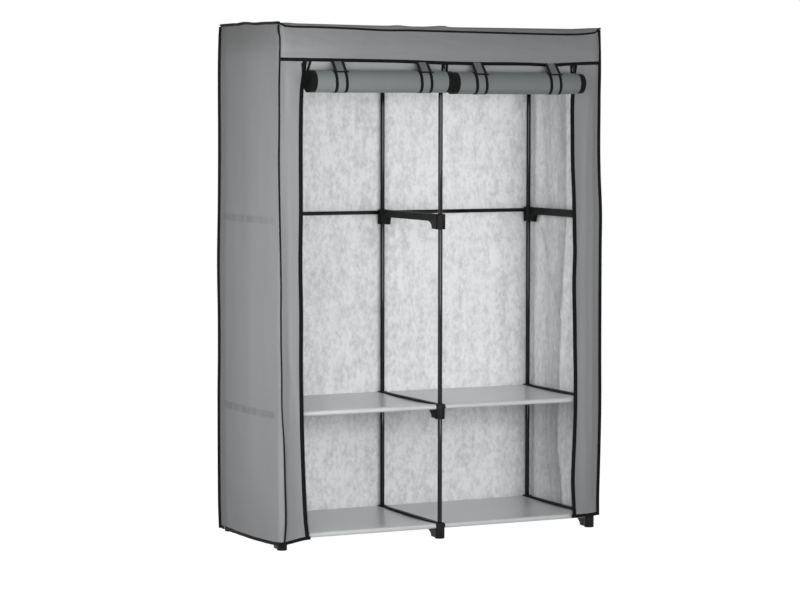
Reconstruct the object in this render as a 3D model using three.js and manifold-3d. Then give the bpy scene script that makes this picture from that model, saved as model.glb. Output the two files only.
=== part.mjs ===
// Portable fabric wardrobe: a push-together tube frame with moulded side bars, four cloth shelves
// and a hanging cover whose two doors are rolled up under the valance.
// Millimetres, +Z up, doors facing -Y, origin on the floor under the middle of the outline.
import * as THREE from 'three';
import { mergeVertices } from 'three/addons/utils/BufferGeometryUtils.js';
import Module from 'manifold-3d';

const wasm = await Module();
wasm.setup();

// Cover
const coverWidth = 1180;
const coverDepth = 490;
const coverHeight = 1700;
const hemHeight = 27;
const clothThickness = 1.2;
const coverEase = 5.3;
const leftStripWidth = 78;
const rightStripWidth = 98;
const valanceDrop = 118;
const valanceSag = 5;

// Clearance between pieces that touch, and the overrun of every cut
const seatGap = 0.3;
const cutOverrun = 2;

// Tubes
const uprightDiameter = 15;
const crossTubeDiameter = 13;
const tubeWall = 1;

// Moulded side bars with their sockets and pegs
const socketRadius = 16.5;
const socketHeight = 50;
const footHeight = 52;
const socketDepth = 22;
const barHeight = 25;
const barThickness = 15;
const gussetStart = 50;
const frontGussetRun = 34;
const backGussetRun = 12;
const footGussetRun = 60;
const footChamfer = 2.5;
const pegLength = 24;
const pegDrop = 10;

// Levels: the height of each side bar's top
const shelfRise = 398;
const braceRise = 630;
const topSocketTop = coverHeight - clothThickness - seatGap;
const shelfSocketTop = footHeight + shelfRise;
const braceSocketTop = shelfSocketTop + braceRise;

// Shelves
const shelfSag = 5;
const shelfSideGap = 1.5;
const sleeveEndGap = 2;

// Rolled doors
const rollRadius = 36.5;
const rollPitch = 5;
const rollTurns = 5;
const rollStandoff = 2.2;
const leftRollHang = 31.5;
const rightRollHang = 35.5;
const zipGap = 6;
const centreZipPlace = 3;
const leftRollOverlap = 5;
const rightRollOverlap = 13;
const rollEndGap = 2;

// Roll straps
const strapWidth = 41;
const strapTuck = 30;
const strapSlack = 0.4;
const seamTapeHeight = 10;
const strapPlacesLeftShares = [0.24, 0.84];
const strapPlacesRightShares = [0.24, 0.81];

// Zip sliders
const sliderLength = 16;
const sliderDepth = 4.4;
const sliderNeckWidth = 3.6;
const tabLength = 20;
const tabWidth = 4;
const tabThickness = 0.9;
const sliderDrop = 3;

// Places that follow from the sizes above
const poleX = coverWidth / 2 - clothThickness - seatGap - socketRadius;
const poleY = coverDepth / 2 - clothThickness - coverEase - socketRadius;
const crossTubeRadius = crossTubeDiameter / 2;
const pegRadius = crossTubeRadius - tubeWall - seatGap;
const boreRadius = uprightDiameter / 2 + seatGap;
const rollBackY = -coverDepth / 2 - rollStandoff;
const rollAxisY = rollBackY - rollRadius;
const strapRadius = rollRadius + strapSlack + clothThickness / 2;
const frontReach = strapRadius + clothThickness / 2 - rollAxisY;
const frameShiftY = (frontReach - coverDepth / 2) / 2;
const openingLeft = leftStripWidth - coverWidth / 2;
const openingRight = coverWidth / 2 - rightStripWidth;
const stripFaceY = -coverDepth / 2 + clothThickness + seatGap;
const strapLayerY = stripFaceY + clothThickness / 2;
const flapLayerY = strapLayerY + clothThickness + seatGap;
const innerStrapLayerY = flapLayerY + clothThickness + seatGap;
const valanceBottom = coverHeight - valanceDrop;
const kneeHeight = valanceBottom - valanceSag - clothThickness - seatGap;
const leftRollHeight = valanceBottom - leftRollHang - rollRadius;
const rightRollHeight = valanceBottom - rightRollHang - rollRadius;

// Facet counts
const tubeSides = 12;
const socketSides = 12;
const turnSteps = 14;
const gussetSteps = 3;

// Materials
function paint(color, roughness, metalness) {
  return new THREE.MeshStandardMaterial({ color, roughness, metalness });
}
const blackSteel = paint(0x1b1b1c, 0.35, 0.6);
const blackPlastic = paint(0x161718, 0.5, 0);
const greyCloth = paint(0x97989a, 0.85, 0);
const shelfCloth = paint(0xa9abac, 0.6, 0);
const zipMetal = paint(0x202021, 0.4, 0.5);

const wardrobe = new THREE.Group();
wardrobe.position.y = frameShiftY;

// Adds one named piece at a place in the frame
function addPiece(name, geometry, material, x = 0, y = 0, z = 0) {
  const mesh = new THREE.Mesh(geometry, material);
  mesh.name = name;
  mesh.position.set(x, y, z);
  wardrobe.add(mesh);
}

// Leaves only merged positions, with the faces pointing out
function closeMesh(geometry) {
  const bare = geometry.index ? geometry : geometry.clone();
  bare.deleteAttribute('normal');
  bare.deleteAttribute('uv');
  const merged = mergeVertices(bare);
  const corners = merged.index.array;
  const place = merged.attributes.position;
  const [a, b, c] = [new THREE.Vector3(), new THREE.Vector3(), new THREE.Vector3()];
  let volume = 0;
  for (let i = 0; i < corners.length; i += 3) {
    a.fromBufferAttribute(place, corners[i]);
    b.fromBufferAttribute(place, corners[i + 1]);
    c.fromBufferAttribute(place, corners[i + 2]);
    volume += a.dot(b.cross(c));
  }
  if (volume < 0) {
    for (let i = 0; i < corners.length; i += 3) {
      [corners[i + 1], corners[i + 2]] = [corners[i + 2], corners[i + 1]];
    }
  }
  return merged;
}

function toSolid(geometry) {
  const closed = closeMesh(geometry);
  const vertProperties = new Float32Array(closed.attributes.position.array);
  const triVerts = new Uint32Array(closed.index.array);
  return new wasm.Manifold(new wasm.Mesh({ numProp: 3, vertProperties, triVerts }));
}

function toGeometry(solid) {
  const mesh = solid.getMesh();
  const geometry = new THREE.BufferGeometry();
  geometry.setAttribute('position', new THREE.BufferAttribute(new Float32Array(mesh.vertProperties), 3));
  geometry.setIndex(new THREE.BufferAttribute(new Uint32Array(mesh.triVerts), 1));
  return geometry;
}

// Round bars and tubes start at the given place and run along +Z or +X
function alongZ(geometry, length) {
  return geometry.rotateX(Math.PI / 2).translate(0, 0, length / 2);
}

function alongX(geometry, length) {
  return geometry.rotateZ(-Math.PI / 2).translate(length / 2, 0, 0);
}

function roundBar(radius, length, sides = tubeSides) {
  return new THREE.CylinderGeometry(radius, radius, length, sides);
}

function tube(outerRadius, length) {
  const inner = outerRadius - tubeWall;
  const profile = [
    [inner, -length / 2], [outerRadius, -length / 2], [outerRadius, length / 2], [inner, length / 2],
    [inner, -length / 2],
  ];
  const points = profile.map(([r, h]) => new THREE.Vector2(r, h));
  return closeMesh(new THREE.LatheGeometry(points, tubeSides));
}

// A drawing in the Y-Z plane, drawn out along +X
function extrudeAlongX(shape, width) {
  const geometry = new THREE.ExtrudeGeometry(shape, { depth: width, bevelEnabled: false });
  const toSideView = new THREE.Matrix4().makeBasis(
    new THREE.Vector3(0, 1, 0), new THREE.Vector3(0, 0, 1), new THREE.Vector3(1, 0, 0));
  return closeMesh(geometry.applyMatrix4(toSideView));
}

// The outline of a strip of cloth that follows a line in the Y-Z plane
function clothOutline(points) {
  const sides = [[], []];
  points.forEach((point, i) => {
    const before = points[Math.max(i - 1, 0)];
    const after = points[Math.min(i + 1, points.length - 1)];
    const along = after.clone().sub(before).normalize();
    const step = points[i].clone().sub(i > 0 ? before : after).normalize();
    const mitre = Math.abs(along.x * step.x + along.y * step.y);
    const offset = new THREE.Vector2(-along.y, along.x).multiplyScalar(clothThickness / 2 / mitre);
    sides[0].push(point.clone().add(offset));
    sides[1].push(point.clone().sub(offset));
  });
  return new THREE.Shape([...sides[0], ...sides[1].reverse()]);
}

// A closed sheet of cloth over a grid: pointAt(column, row, face) gives its outer and inner skin
function clothSheet(columns, rows, pointAt) {
  const positions = [];
  const index = [];
  for (const face of [0, 1]) {
    for (let row = 0; row <= rows; row++) {
      for (let column = 0; column <= columns; column++) positions.push(...pointAt(column, row, face));
    }
  }
  const at = (face, row, column) => (face * (rows + 1) + row) * (columns + 1) + column;
  const quad = (a, b, c, d) => index.push(a, b, c, a, c, d);
  for (let row = 0; row < rows; row++) {
    for (let column = 0; column < columns; column++) {
      quad(at(0, row, column), at(0, row, column + 1), at(0, row + 1, column + 1), at(0, row + 1, column));
      quad(at(1, row, column), at(1, row + 1, column), at(1, row + 1, column + 1), at(1, row, column + 1));
    }
  }
  for (let column = 0; column < columns; column++) {
    quad(at(0, 0, column), at(1, 0, column), at(1, 0, column + 1), at(0, 0, column + 1));
    quad(at(0, rows, column), at(0, rows, column + 1), at(1, rows, column + 1), at(1, rows, column));
  }
  for (let row = 0; row < rows; row++) {
    quad(at(0, row, 0), at(0, row + 1, 0), at(1, row + 1, 0), at(1, row, 0));
    quad(at(0, row, columns), at(1, row, columns), at(1, row + 1, columns), at(0, row + 1, columns));
  }
  const geometry = new THREE.BufferGeometry();
  geometry.setAttribute('position', new THREE.Float32BufferAttribute(positions, 3));
  geometry.setIndex(index);
  return closeMesh(geometry);
}

// Side view of a side bar, from the front upright's axis to the back one's, top at zero. A gusset
// runs from the foot of each socket up to the underside, hollowed like a quarter of an ellipse
function barOutline(height, frontRun, backRun) {
  const drop = height - barHeight;
  const curve = Array.from({ length: gussetSteps + 1 }, (_, i) => (i / gussetSteps) * Math.PI / 2);
  const gusset = (end, run) => curve.map((turn) => new THREE.Vector2(
    end * (poleY - gussetStart - run * (1 - Math.cos(turn))), -height + drop * Math.sin(turn)));
  return new THREE.Shape([
    new THREE.Vector2(-poleY, 0),
    new THREE.Vector2(-poleY, -height),
    ...gusset(-1, frontRun),
    ...gusset(1, backRun).reverse(),
    new THREE.Vector2(poleY, -height),
    new THREE.Vector2(poleY, 0),
  ]);
}

// A socket block: round, with a chamfered foot on the lowest bars
function socketBlock(height, chamfer) {
  const points = [[0, -height], [socketRadius - chamfer, -height]];
  if (chamfer > 0) points.push([socketRadius, chamfer - height]);
  points.push([socketRadius, 0], [0, 0]);
  const profile = points.map(([r, h]) => new THREE.Vector2(r, h));
  return new THREE.LatheGeometry(profile, socketSides).rotateX(Math.PI / 2);
}

// One moulded side bar. `inward` lists the sides, -1 or 1, on which it carries cross tubes, and
// its sockets are open where an upright plugs in: above, below or both
function sideBar({ foot, inward, front, back, rail, openAbove, openBelow }) {
  const height = foot ? footHeight : socketHeight;
  const runs = foot ? [footGussetRun, footGussetRun] : [frontGussetRun, backGussetRun];
  const web = extrudeAlongX(barOutline(height, ...runs), barThickness).translate(-barThickness / 2, 0, 0);
  const sockets = [-poleY, poleY];
  let bar = toSolid(web);
  for (const y of sockets) {
    const block = socketBlock(height, foot ? footChamfer : 0).translate(0, y, 0);
    bar = bar.add(toSolid(block));
  }
  const rootInside = (socketRadius + boreRadius) / 2;
  const pegPlaces = [];
  if (front) pegPlaces.push([-poleY, -pegDrop, rootInside, socketRadius]);
  if (back) pegPlaces.push([poleY, -pegDrop, rootInside, socketRadius]);
  if (rail) pegPlaces.push([0, -barHeight / 2, 0, barThickness / 2]);
  for (const side of inward) {
    for (const [y, z, root, face] of pegPlaces) {
      const length = face - root + pegLength;
      const peg = alongX(roundBar(pegRadius, length), length).translate(root, 0, 0);
      if (side < 0) peg.rotateZ(Math.PI);
      bar = bar.add(toSolid(peg.translate(0, y, z)));
    }
  }
  const cutLength = socketDepth + cutOverrun;
  for (const y of sockets) {
    for (const [open, bottom] of [[openAbove, -socketDepth], [openBelow, -height - cutOverrun]]) {
      const bore = alongZ(roundBar(boreRadius, cutLength), cutLength).translate(0, y, bottom);
      if (open) bar = bar.subtract(toSolid(bore));
    }
  }
  return toGeometry(bar);
}

const bays = [
  { side: 'left', start: -poleX, end: 0 },
  { side: 'right', start: 0, end: poleX },
];
const columns = [
  { side: 'left', x: -poleX, inward: [1] },
  { side: 'centre', x: 0, inward: [-1, 1] },
  { side: 'right', x: poleX, inward: [-1] },
];
const levels = [
  { name: 'foot', top: footHeight, foot: true, front: true, back: true, openAbove: true },
  { name: 'shelf', top: shelfSocketTop, front: true, back: true, openAbove: true, openBelow: true },
  { name: 'brace', top: braceSocketTop, back: true, openAbove: true, openBelow: true },
  { name: 'top', top: topSocketTop, front: true, back: true, rail: true, openBelow: true },
];

// Side bars and the uprights that plug into them
const uprightNames = ['lower', 'middle', 'upper'];
for (const { side, x, inward } of columns) {
  for (const level of levels) {
    addPiece(`${side}_${level.name}_bar`, sideBar({ ...level, inward }), blackPlastic, x, 0, level.top);
  }
  for (const [row, y] of [['front', -poleY], ['back', poleY]]) {
    uprightNames.forEach((name, i) => {
      const bottom = levels[i].top - socketDepth + seatGap;
      const end = levels[i + 1].top - socketHeight + socketDepth - seatGap;
      const length = end - bottom;
      const upright = alongZ(tube(uprightDiameter / 2, length), length);
      addPiece(`${side}_${row}_${name}_upright`, upright, blackSteel, x, y, bottom);
    });
  }
}

// Cross tubes over the pegs, between the sockets, and the rails between the top bars
function addCrossTube(name, bay, inset, y, z) {
  const length = bay.end - bay.start - 2 * inset;
  addPiece(name, alongX(tube(crossTubeRadius, length), length), blackSteel, bay.start + inset, y, z);
}
for (const bay of bays) {
  for (const { name, top, front, back } of levels) {
    for (const [row, y, wanted] of [['front', -poleY, front], ['back', poleY, back]]) {
      const tubeName = `${bay.side}_${name}_${row}_tube`;
      if (wanted) addCrossTube(tubeName, bay, socketRadius + seatGap, y, top - pegDrop);
    }
  }
  const railHeight = topSocketTop - barHeight / 2;
  addCrossTube(`${bay.side}_hanging_rail`, bay, barThickness / 2 + seatGap, 0, railHeight);
}

// A cloth shelf: a sheet that sags between two sleeves around the front and back tubes
function shelf(bayWidth) {
  const sleeveRadius = crossTubeRadius + seatGap + clothThickness;
  const skinZ = sleeveRadius - clothThickness / 2;
  const sheetPath = (reach) => {
    const steps = 6;
    return Array.from({ length: steps + 1 }, (_, i) => {
      const y = reach * (2 * i / steps - 1);
      return new THREE.Vector2(y, skinZ - shelfSag * (1 - (y / poleY) ** 2));
    });
  };
  const sleeveLength = bayWidth - 2 * (socketRadius + sleeveEndGap);
  const sheetLength = bayWidth - barThickness - 2 * shelfSideGap;
  const wideReach = poleY - socketRadius - sleeveEndGap;
  const wide = extrudeAlongX(clothOutline(sheetPath(wideReach)), sheetLength);
  const narrow = extrudeAlongX(clothOutline(sheetPath(poleY)), sleeveLength);
  let solid = toSolid(wide.translate(-sheetLength / 2, 0, 0));
  solid = solid.add(toSolid(narrow.translate(-sleeveLength / 2, 0, 0)));
  for (const y of [-poleY, poleY]) {
    const sleeve = alongX(roundBar(sleeveRadius, sleeveLength), sleeveLength);
    solid = solid.add(toSolid(sleeve.translate(-sleeveLength / 2, y, 0)));
  }
  for (const y of [-poleY, poleY]) {
    const boreLength = sleeveLength + 2 * cutOverrun;
    const bore = alongX(roundBar(crossTubeRadius + seatGap, boreLength), boreLength);
    solid = solid.subtract(toSolid(bore.translate(-boreLength / 2, y, 0)));
  }
  return toGeometry(solid);
}
for (const bay of bays) {
  const middle = (bay.start + bay.end) / 2;
  addPiece(`${bay.side}_bottom_shelf`, shelf(poleX), shelfCloth, middle, 0, footHeight - pegDrop);
  addPiece(`${bay.side}_middle_shelf`, shelf(poleX), shelfCloth, middle, 0, shelfSocketTop - pegDrop);
}

// Cover side with its front strip: a sheet round the front corner, held out by the bars and
// sunk between them, with upright folds
const sideColumns = 10;
const stripColumns = 3;
const sideRows = 12;
const sideFoldCount = 3;
const sideSagShare = 0.45;
const sideFoldShare = 0.3;
const stripWaveShare = 0.5;
function coverSide(side, stripWidth) {
  const outerX = coverWidth / 2;
  const backY = coverDepth / 2 - clothThickness - seatGap;
  const bottom = hemHeight;
  const height = topSocketTop - bottom;
  const room = outerX - clothThickness - poleX - barThickness / 2 - seatGap;
  const tops = levels.map((level) => level.top - socketHeight / 2);
  const betweenLevels = (z) => {
    const i = tops.findIndex((top) => z < top);
    return i < 1 ? 0 : Math.sin(Math.PI * (z - tops[i - 1]) / (tops[i] - tops[i - 1]));
  };
  return clothSheet(sideColumns + stripColumns, sideRows, (column, row, face) => {
    const inset = face * clothThickness;
    const z = bottom + height * row / sideRows;
    if (column === 0) return [side * (outerX - inset), backY, z];
    if (column < sideColumns) {
      const t = (column - 1) / (sideColumns - 2);
      const wave = (1 - Math.cos(2 * Math.PI * sideFoldCount * t)) / 2;
      const sunk = room * Math.sin(Math.PI * t) * (sideSagShare * betweenLevels(z) + sideFoldShare * wave);
      return [side * (outerX - inset - sunk), (poleY - socketRadius) * (1 - 2 * t), z];
    }
    const t = (column - sideColumns) / stripColumns;
    const edge = t > 0 ? outerX - stripWidth * t : outerX - inset;
    const fold = Math.sin(2 * Math.PI * sideFoldCount * z / height) ** 2;
    return [side * edge, stripFaceY + inset + stripWaveShare * clothThickness * t * fold, z];
  });
}
addPiece('left_cover_side', coverSide(-1, leftStripWidth), greyCloth);
addPiece('right_cover_side', coverSide(1, rightStripWidth), greyCloth);

// Back, top and valance in one length of cloth over the frame
const backRows = 8;
const topRows = 4;
const valanceRows = 2;
const wrapColumns = 28;
const backFoldCount = 7;
const backFoldShare = 0.7;
function coverWrap() {
  const room = coverEase - seatGap;
  return clothSheet(wrapColumns, backRows + topRows + valanceRows, (column, row, face) => {
    const u = column / wrapColumns;
    const x = coverWidth * (u - 1 / 2);
    const inset = face * clothThickness;
    const hold = Math.sin(Math.PI * u);
    const cornerY = coverDepth / 2 - inset;
    const cornerZ = coverHeight - inset;
    if (row <= backRows) {
      const v = row / backRows;
      const wave = (1 - Math.cos(2 * Math.PI * backFoldCount * u)) / 2;
      const sunk = room * backFoldShare * hold * wave * Math.sin(Math.PI * (1 - v) / 2);
      return [x, cornerY - sunk, hemHeight + (cornerZ - hemHeight) * v];
    }
    if (row <= backRows + topRows) {
      const v = (row - backRows) / topRows;
      return [x, cornerY * (1 - 2 * v), cornerZ];
    }
    const v = (row - backRows - topRows) / valanceRows;
    const bottom = valanceBottom - valanceSag * hold;
    return [x, -cornerY, cornerZ + (bottom - cornerZ) * v];
  });
}
addPiece('cover_back_top_valance', coverWrap(), greyCloth);

// A door hangs from the top seam behind the valance and is rolled up in front of the cover:
// the roll is one unbroken spiral whose outer end is the hanging part
function spiralPoints(rollHeight) {
  const steps = rollTurns * turnSteps;
  return Array.from({ length: steps + 1 }, (_, i) => {
    const radius = rollRadius - clothThickness / 2 - rollPitch * i / turnSteps;
    const turn = -2 * Math.PI * i / turnSteps;
    return new THREE.Vector2(rollAxisY + radius * Math.cos(turn), rollHeight + radius * Math.sin(turn));
  });
}

function leastGap(points) {
  let least = Infinity;
  points.forEach((point, i) => {
    for (const other of points.slice(i + turnSteps / 2)) least = Math.min(least, point.distanceTo(other));
  });
  return least - clothThickness;
}

function door(rollHeight, flapStart, flapEnd, rollStart, rollEnd) {
  const spiral = spiralPoints(rollHeight);
  const flap = [
    new THREE.Vector2(flapLayerY, topSocketTop),
    new THREE.Vector2(flapLayerY, kneeHeight),
  ];
  const hanging = extrudeAlongX(clothOutline([...flap, ...spiral.slice(0, 3)]), flapEnd - flapStart);
  const roll = extrudeAlongX(clothOutline(spiral), rollEnd - rollStart);
  const solid = toSolid(hanging.translate(flapStart, 0, 0)).add(toSolid(roll.translate(rollStart, 0, 0)));
  return toGeometry(solid);
}
const leftFlapStart = openingLeft + zipGap;
const rightFlapEnd = openingRight - zipGap;
const leftFlapEnd = centreZipPlace - zipGap / 2;
const rightFlapStart = centreZipPlace + zipGap / 2;
const leftRollEnd = leftFlapEnd + leftRollOverlap;
const rightRollStart = leftRollEnd + rollEndGap;
const rightRollEnd = rightFlapEnd + rightRollOverlap;
const leftDoor = door(leftRollHeight, leftFlapStart, leftFlapEnd, leftFlapStart, leftRollEnd);
const rightDoor = door(rightRollHeight, rightFlapStart, rightFlapEnd, rightRollStart, rightRollEnd);
addPiece('left_door', leftDoor, greyCloth);
addPiece('right_door', rightDoor, greyCloth);
console.log(`least gap between the turns of a rolled door: ${leastGap(spiralPoints(0)).toFixed(2)} mm`);

// Two straps on one seam tape: each runs down behind the door, under the roll and up its front,
// and its outer end goes back under the valance
function strapPath(rollHeight) {
  const tangent = (kneeY, turn) => {
    const dy = kneeY - rollAxisY;
    const dz = kneeHeight - rollHeight;
    return Math.atan2(dz, dy) + turn * Math.acos(strapRadius / Math.hypot(dy, dz));
  };
  const from = tangent(innerStrapLayerY, -1);
  const to = tangent(strapLayerY, 1) - 2 * Math.PI;
  const steps = turnSteps;
  const arc = Array.from({ length: steps + 1 }, (_, i) => {
    const turn = from + (to - from) * i / steps;
    const [y, z] = [strapRadius * Math.cos(turn), strapRadius * Math.sin(turn)];
    return new THREE.Vector2(rollAxisY + y, rollHeight + z);
  });
  return [
    new THREE.Vector2(innerStrapLayerY, valanceBottom + strapTuck),
    new THREE.Vector2(innerStrapLayerY, kneeHeight),
    ...arc,
    new THREE.Vector2(strapLayerY, kneeHeight),
    new THREE.Vector2(strapLayerY, valanceBottom + strapTuck),
  ];
}

function strapPair(rollHeight, places) {
  const outline = clothOutline(strapPath(rollHeight));
  const top = valanceBottom + strapTuck;
  const tape = new THREE.Shape([
    new THREE.Vector2(innerStrapLayerY - clothThickness / 2, top - seamTapeHeight),
    new THREE.Vector2(innerStrapLayerY + clothThickness / 2, top - seamTapeHeight),
    new THREE.Vector2(innerStrapLayerY + clothThickness / 2, top),
    new THREE.Vector2(innerStrapLayerY - clothThickness / 2, top),
  ]);
  let solid = toSolid(extrudeAlongX(tape, places[1] - places[0]).translate(places[0], 0, 0));
  for (const place of places) {
    solid = solid.add(toSolid(extrudeAlongX(outline, strapWidth).translate(place - strapWidth / 2, 0, 0)));
  }
  return toGeometry(solid);
}
const leftStrapPlaces = strapPlacesLeftShares.map((share) => openingLeft * (1 - share));
const rightStrapPlaces = strapPlacesRightShares.map((share) => openingRight * share);
addPiece('left_door_straps', strapPair(leftRollHeight, leftStrapPlaces), greyCloth);
addPiece('right_door_straps', strapPair(rightRollHeight, rightStrapPlaces), greyCloth);

// A zip slider between two tape edges, with its pull tab hanging in front
function box(width, depth, height) {
  return new THREE.BoxGeometry(width, depth, height);
}
function zipSlider() {
  const width = zipGap - 2 * seatGap;
  const body = new THREE.Shape([
    new THREE.Vector2(-width / 2, sliderLength / 2),
    new THREE.Vector2(-sliderNeckWidth / 2, -sliderLength / 2),
    new THREE.Vector2(sliderNeckWidth / 2, -sliderLength / 2),
    new THREE.Vector2(width / 2, sliderLength / 2),
  ]);
  const block = new THREE.ExtrudeGeometry(body, { depth: sliderDepth, bevelEnabled: false });
  block.rotateX(Math.PI / 2).translate(0, sliderDepth / 2, 0);
  const bridge = box(sliderNeckWidth, 2 * tabThickness, sliderLength / 2);
  const tab = box(tabWidth, tabThickness, tabLength);
  let solid = toSolid(block);
  solid = solid.add(toSolid(bridge.translate(0, -sliderDepth / 2, 0)));
  solid = solid.add(toSolid(tab.translate(0, -sliderDepth / 2 - tabThickness, -tabLength / 2)));
  return toGeometry(solid);
}
const sliderY = stripFaceY + clothThickness / 2;
const sliderHeight = valanceBottom - valanceSag - sliderDrop - sliderLength / 2;
addPiece('left_zip_slider', zipSlider(), zipMetal, openingLeft + zipGap / 2, sliderY, sliderHeight);
addPiece('centre_zip_slider', zipSlider(), zipMetal, centreZipPlace, sliderY, sliderHeight);
addPiece('right_zip_slider', zipSlider(), zipMetal, openingRight - zipGap / 2, sliderY, sliderHeight);

export default wardrobe;
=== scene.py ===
"""Portable fabric wardrobe: black tube frame, cloth shelves, sewn grey cover and two rolled doors.

Metres, +Z up, the doors face -Y. Every part is built around the loaded frame and follows its bodies.
"""

import math
from collections import namedtuple

import bmesh
import bpy
import numpy as np
from mathutils import Matrix, Vector, noise


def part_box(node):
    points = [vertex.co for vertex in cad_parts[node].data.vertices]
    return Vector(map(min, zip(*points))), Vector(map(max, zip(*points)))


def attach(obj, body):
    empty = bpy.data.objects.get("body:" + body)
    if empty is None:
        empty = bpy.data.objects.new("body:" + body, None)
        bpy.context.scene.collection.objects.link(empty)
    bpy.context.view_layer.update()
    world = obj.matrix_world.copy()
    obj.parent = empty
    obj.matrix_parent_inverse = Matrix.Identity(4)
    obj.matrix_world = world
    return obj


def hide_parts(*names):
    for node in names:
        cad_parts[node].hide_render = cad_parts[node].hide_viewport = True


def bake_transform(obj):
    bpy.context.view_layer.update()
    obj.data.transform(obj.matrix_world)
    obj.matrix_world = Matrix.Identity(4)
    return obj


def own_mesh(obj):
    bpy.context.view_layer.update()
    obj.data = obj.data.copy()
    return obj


bl_info = {
    "name": "Portable Fabric Wardrobe",
    "version": (1, 0, 0),
    "blender": (4, 5, 0),
    "location": "View3D > Sidebar > Wardrobe",
    "description": "Builds a fabric wardrobe with rolled doors around its tube frame",
    "category": "Object",
}

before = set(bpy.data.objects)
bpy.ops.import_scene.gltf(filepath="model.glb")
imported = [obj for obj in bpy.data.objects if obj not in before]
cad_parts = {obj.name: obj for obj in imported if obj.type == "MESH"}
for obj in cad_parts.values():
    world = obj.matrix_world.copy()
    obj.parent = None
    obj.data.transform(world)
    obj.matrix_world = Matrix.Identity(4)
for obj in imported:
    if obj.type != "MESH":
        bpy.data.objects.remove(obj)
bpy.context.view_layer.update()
MM = 0.001

# Names of the frame's columns, rows and levels
SIDES = ("left", "centre", "right")
ROWS = ("front", "back")
LEVELS = ("foot", "shelf", "brace", "top")
STAGES = ("lower", "middle", "upper")
BAYS = ("left", "right")
DOOR_SIDES = ("left", "right")
HANDS = {-1: "left", 1: "right"}
SHELF_LEVELS = {"foot": "bottom", "shelf": "middle"}


def low(node):
    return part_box(node)[0]


def high(node):
    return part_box(node)[1]


def middle(node):
    return (low(node) + high(node)) / 2


# Sizes read from the frame
WRAP = "cover_back_top_valance"
FRONT_Y = low(WRAP).y
BACK_Y = high(WRAP).y
HALF_WIDTH = high(WRAP).x
COVER_TOP = high(WRAP).z
HEM_Z = low(WRAP).z
MIDDLE_Y = (FRONT_Y + BACK_Y) / 2
POLE_X = middle("right_front_lower_upright").x
POLE_Y = {row: middle(f"left_{row}_lower_upright").y for row in ROWS}
POLE_RADIUS = (high("right_front_lower_upright").x - low("right_front_lower_upright").x) / 2
BAR_TOP = {level: high(f"left_{level}_bar").z for level in LEVELS}
TUBE_RADIUS = (high("left_shelf_front_tube").z - low("left_shelf_front_tube").z) / 2
SOCKET_RADIUS = POLE_X - low("right_shelf_bar").x - 24 * MM


def settings(name):
    return getattr(bpy.context.scene, name)


def srgb(*levels):
    """Linear colour of screen levels from 0 to 255."""
    shares = [level / 255 for level in levels]
    return tuple(s / 12.92 if s < 0.04045 else ((s + 0.055) / 1.055) ** 2.4 for s in shares)


def length_value(name, description, default):
    return bpy.props.FloatProperty(
        name=name, description=description, default=default, unit="LENGTH", subtype="DISTANCE", precision=4
    )


def number_value(name, description, default):
    return bpy.props.FloatProperty(name=name, description=description, default=default)


def colour_value(name, description, *levels):
    return bpy.props.FloatVectorProperty(
        name=name, description=description, default=srgb(*levels), subtype="COLOR", min=0, max=1
    )


class FrameSettings(bpy.types.PropertyGroup):
    """Sizes and colours of poles, cross tubes and side bars"""

    steel_colour: colour_value("Steel", "Powder coat on poles and cross tubes", 11, 11, 12)
    plastic_colour: colour_value("Plastic", "Moulded side bars", 15, 15, 16)
    tube_wall: length_value("Tube wall", "Wall of poles and cross tubes", 1 * MM)
    rim_round: length_value("Rim", "Rounding of tube ends and socket rims", 0.8 * MM)
    bar_height: length_value("Bar height", "Height of a side bar between its sockets", 25 * MM)
    bar_thickness: length_value("Bar thickness", "Width of a side bar", 15 * MM)
    bar_round: length_value("Bar edge", "Rounding of a side bar's edges", 1.8 * MM)
    gusset_start: length_value("Gusset start", "Length of the full-depth end, from the pole's axis", 50 * MM)
    front_gusset: length_value("Front gusset", "Run of the hollow gusset at the front", 34 * MM)
    back_gusset: length_value("Back gusset", "Run of the hollow gusset at the back", 12 * MM)
    foot_gusset: length_value("Foot gusset", "Run of the gussets on the lowest bars", 60 * MM)
    socket_depth: length_value("Socket depth", "How far a pole plugs in", 22 * MM)
    peg_drop: length_value("Peg drop", "Axis of the cross tubes below a bar's top", 10 * MM)
    peg_radius: length_value("Peg radius", "Pegs that the cross tubes slide over", 5.2 * MM)


class CoverSettings(bpy.types.PropertyGroup):
    """Sizes and colours of the sewn cover"""

    cloth_colour: colour_value("Cloth", "Outer face of the cover", 141, 142, 143)
    # The pale inner face is painted light: it stands for light that comes through the cloth from behind
    lit_lining_colour: colour_value("Inner face", "Pale inner face of the cover", 243, 244, 245)
    # Side lining: the painted light of the pale lining made dimmer, a painted shade on the sides' inner faces
    side_lining_colour: colour_value("Side lining", "Inner face of both side panels", 216, 217, 218)
    binding_colour: colour_value("Binding", "Binding, zip tape and thread", 15, 15, 16)
    thickness: length_value("Cloth thickness", "Thickness of the cover cloth", 0.8 * MM)
    front_round: length_value("Front corner", "Rounding of the front corners", 18 * MM)
    back_round: length_value("Back corner", "Rounding of the back corners", 26 * MM)
    top_round: length_value("Top fold", "Reach of the fold over the front edge", 14 * MM)
    flange: length_value("Binding flange", "How far a bound seam stands out", 11 * MM)
    flange_thickness: length_value("Flange thickness", "Thickness of a bound seam", 4.2 * MM)
    hem_band: length_value("Hem band", "Height of the binding on hems", 11.5 * MM)
    zip_tape: length_value("Zip tape", "Width of the zip tape with its binding", 14.5 * MM)
    flap_tape: length_value("Flap tape", "Width of the zip tape on a hanging door", 9 * MM)
    tape_thickness: length_value("Tape thickness", "Thickness of tape sewn on cloth", 1.7 * MM)
    stitch_pitch: length_value("Stitch pitch", "Distance between stitches", 4.5 * MM)
    stitch_thickness: length_value("Thread", "Thickness of the thread", 0.7 * MM)
    tooth_pitch: length_value("Zip pitch", "Distance between zip teeth", 1.9 * MM)


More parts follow.
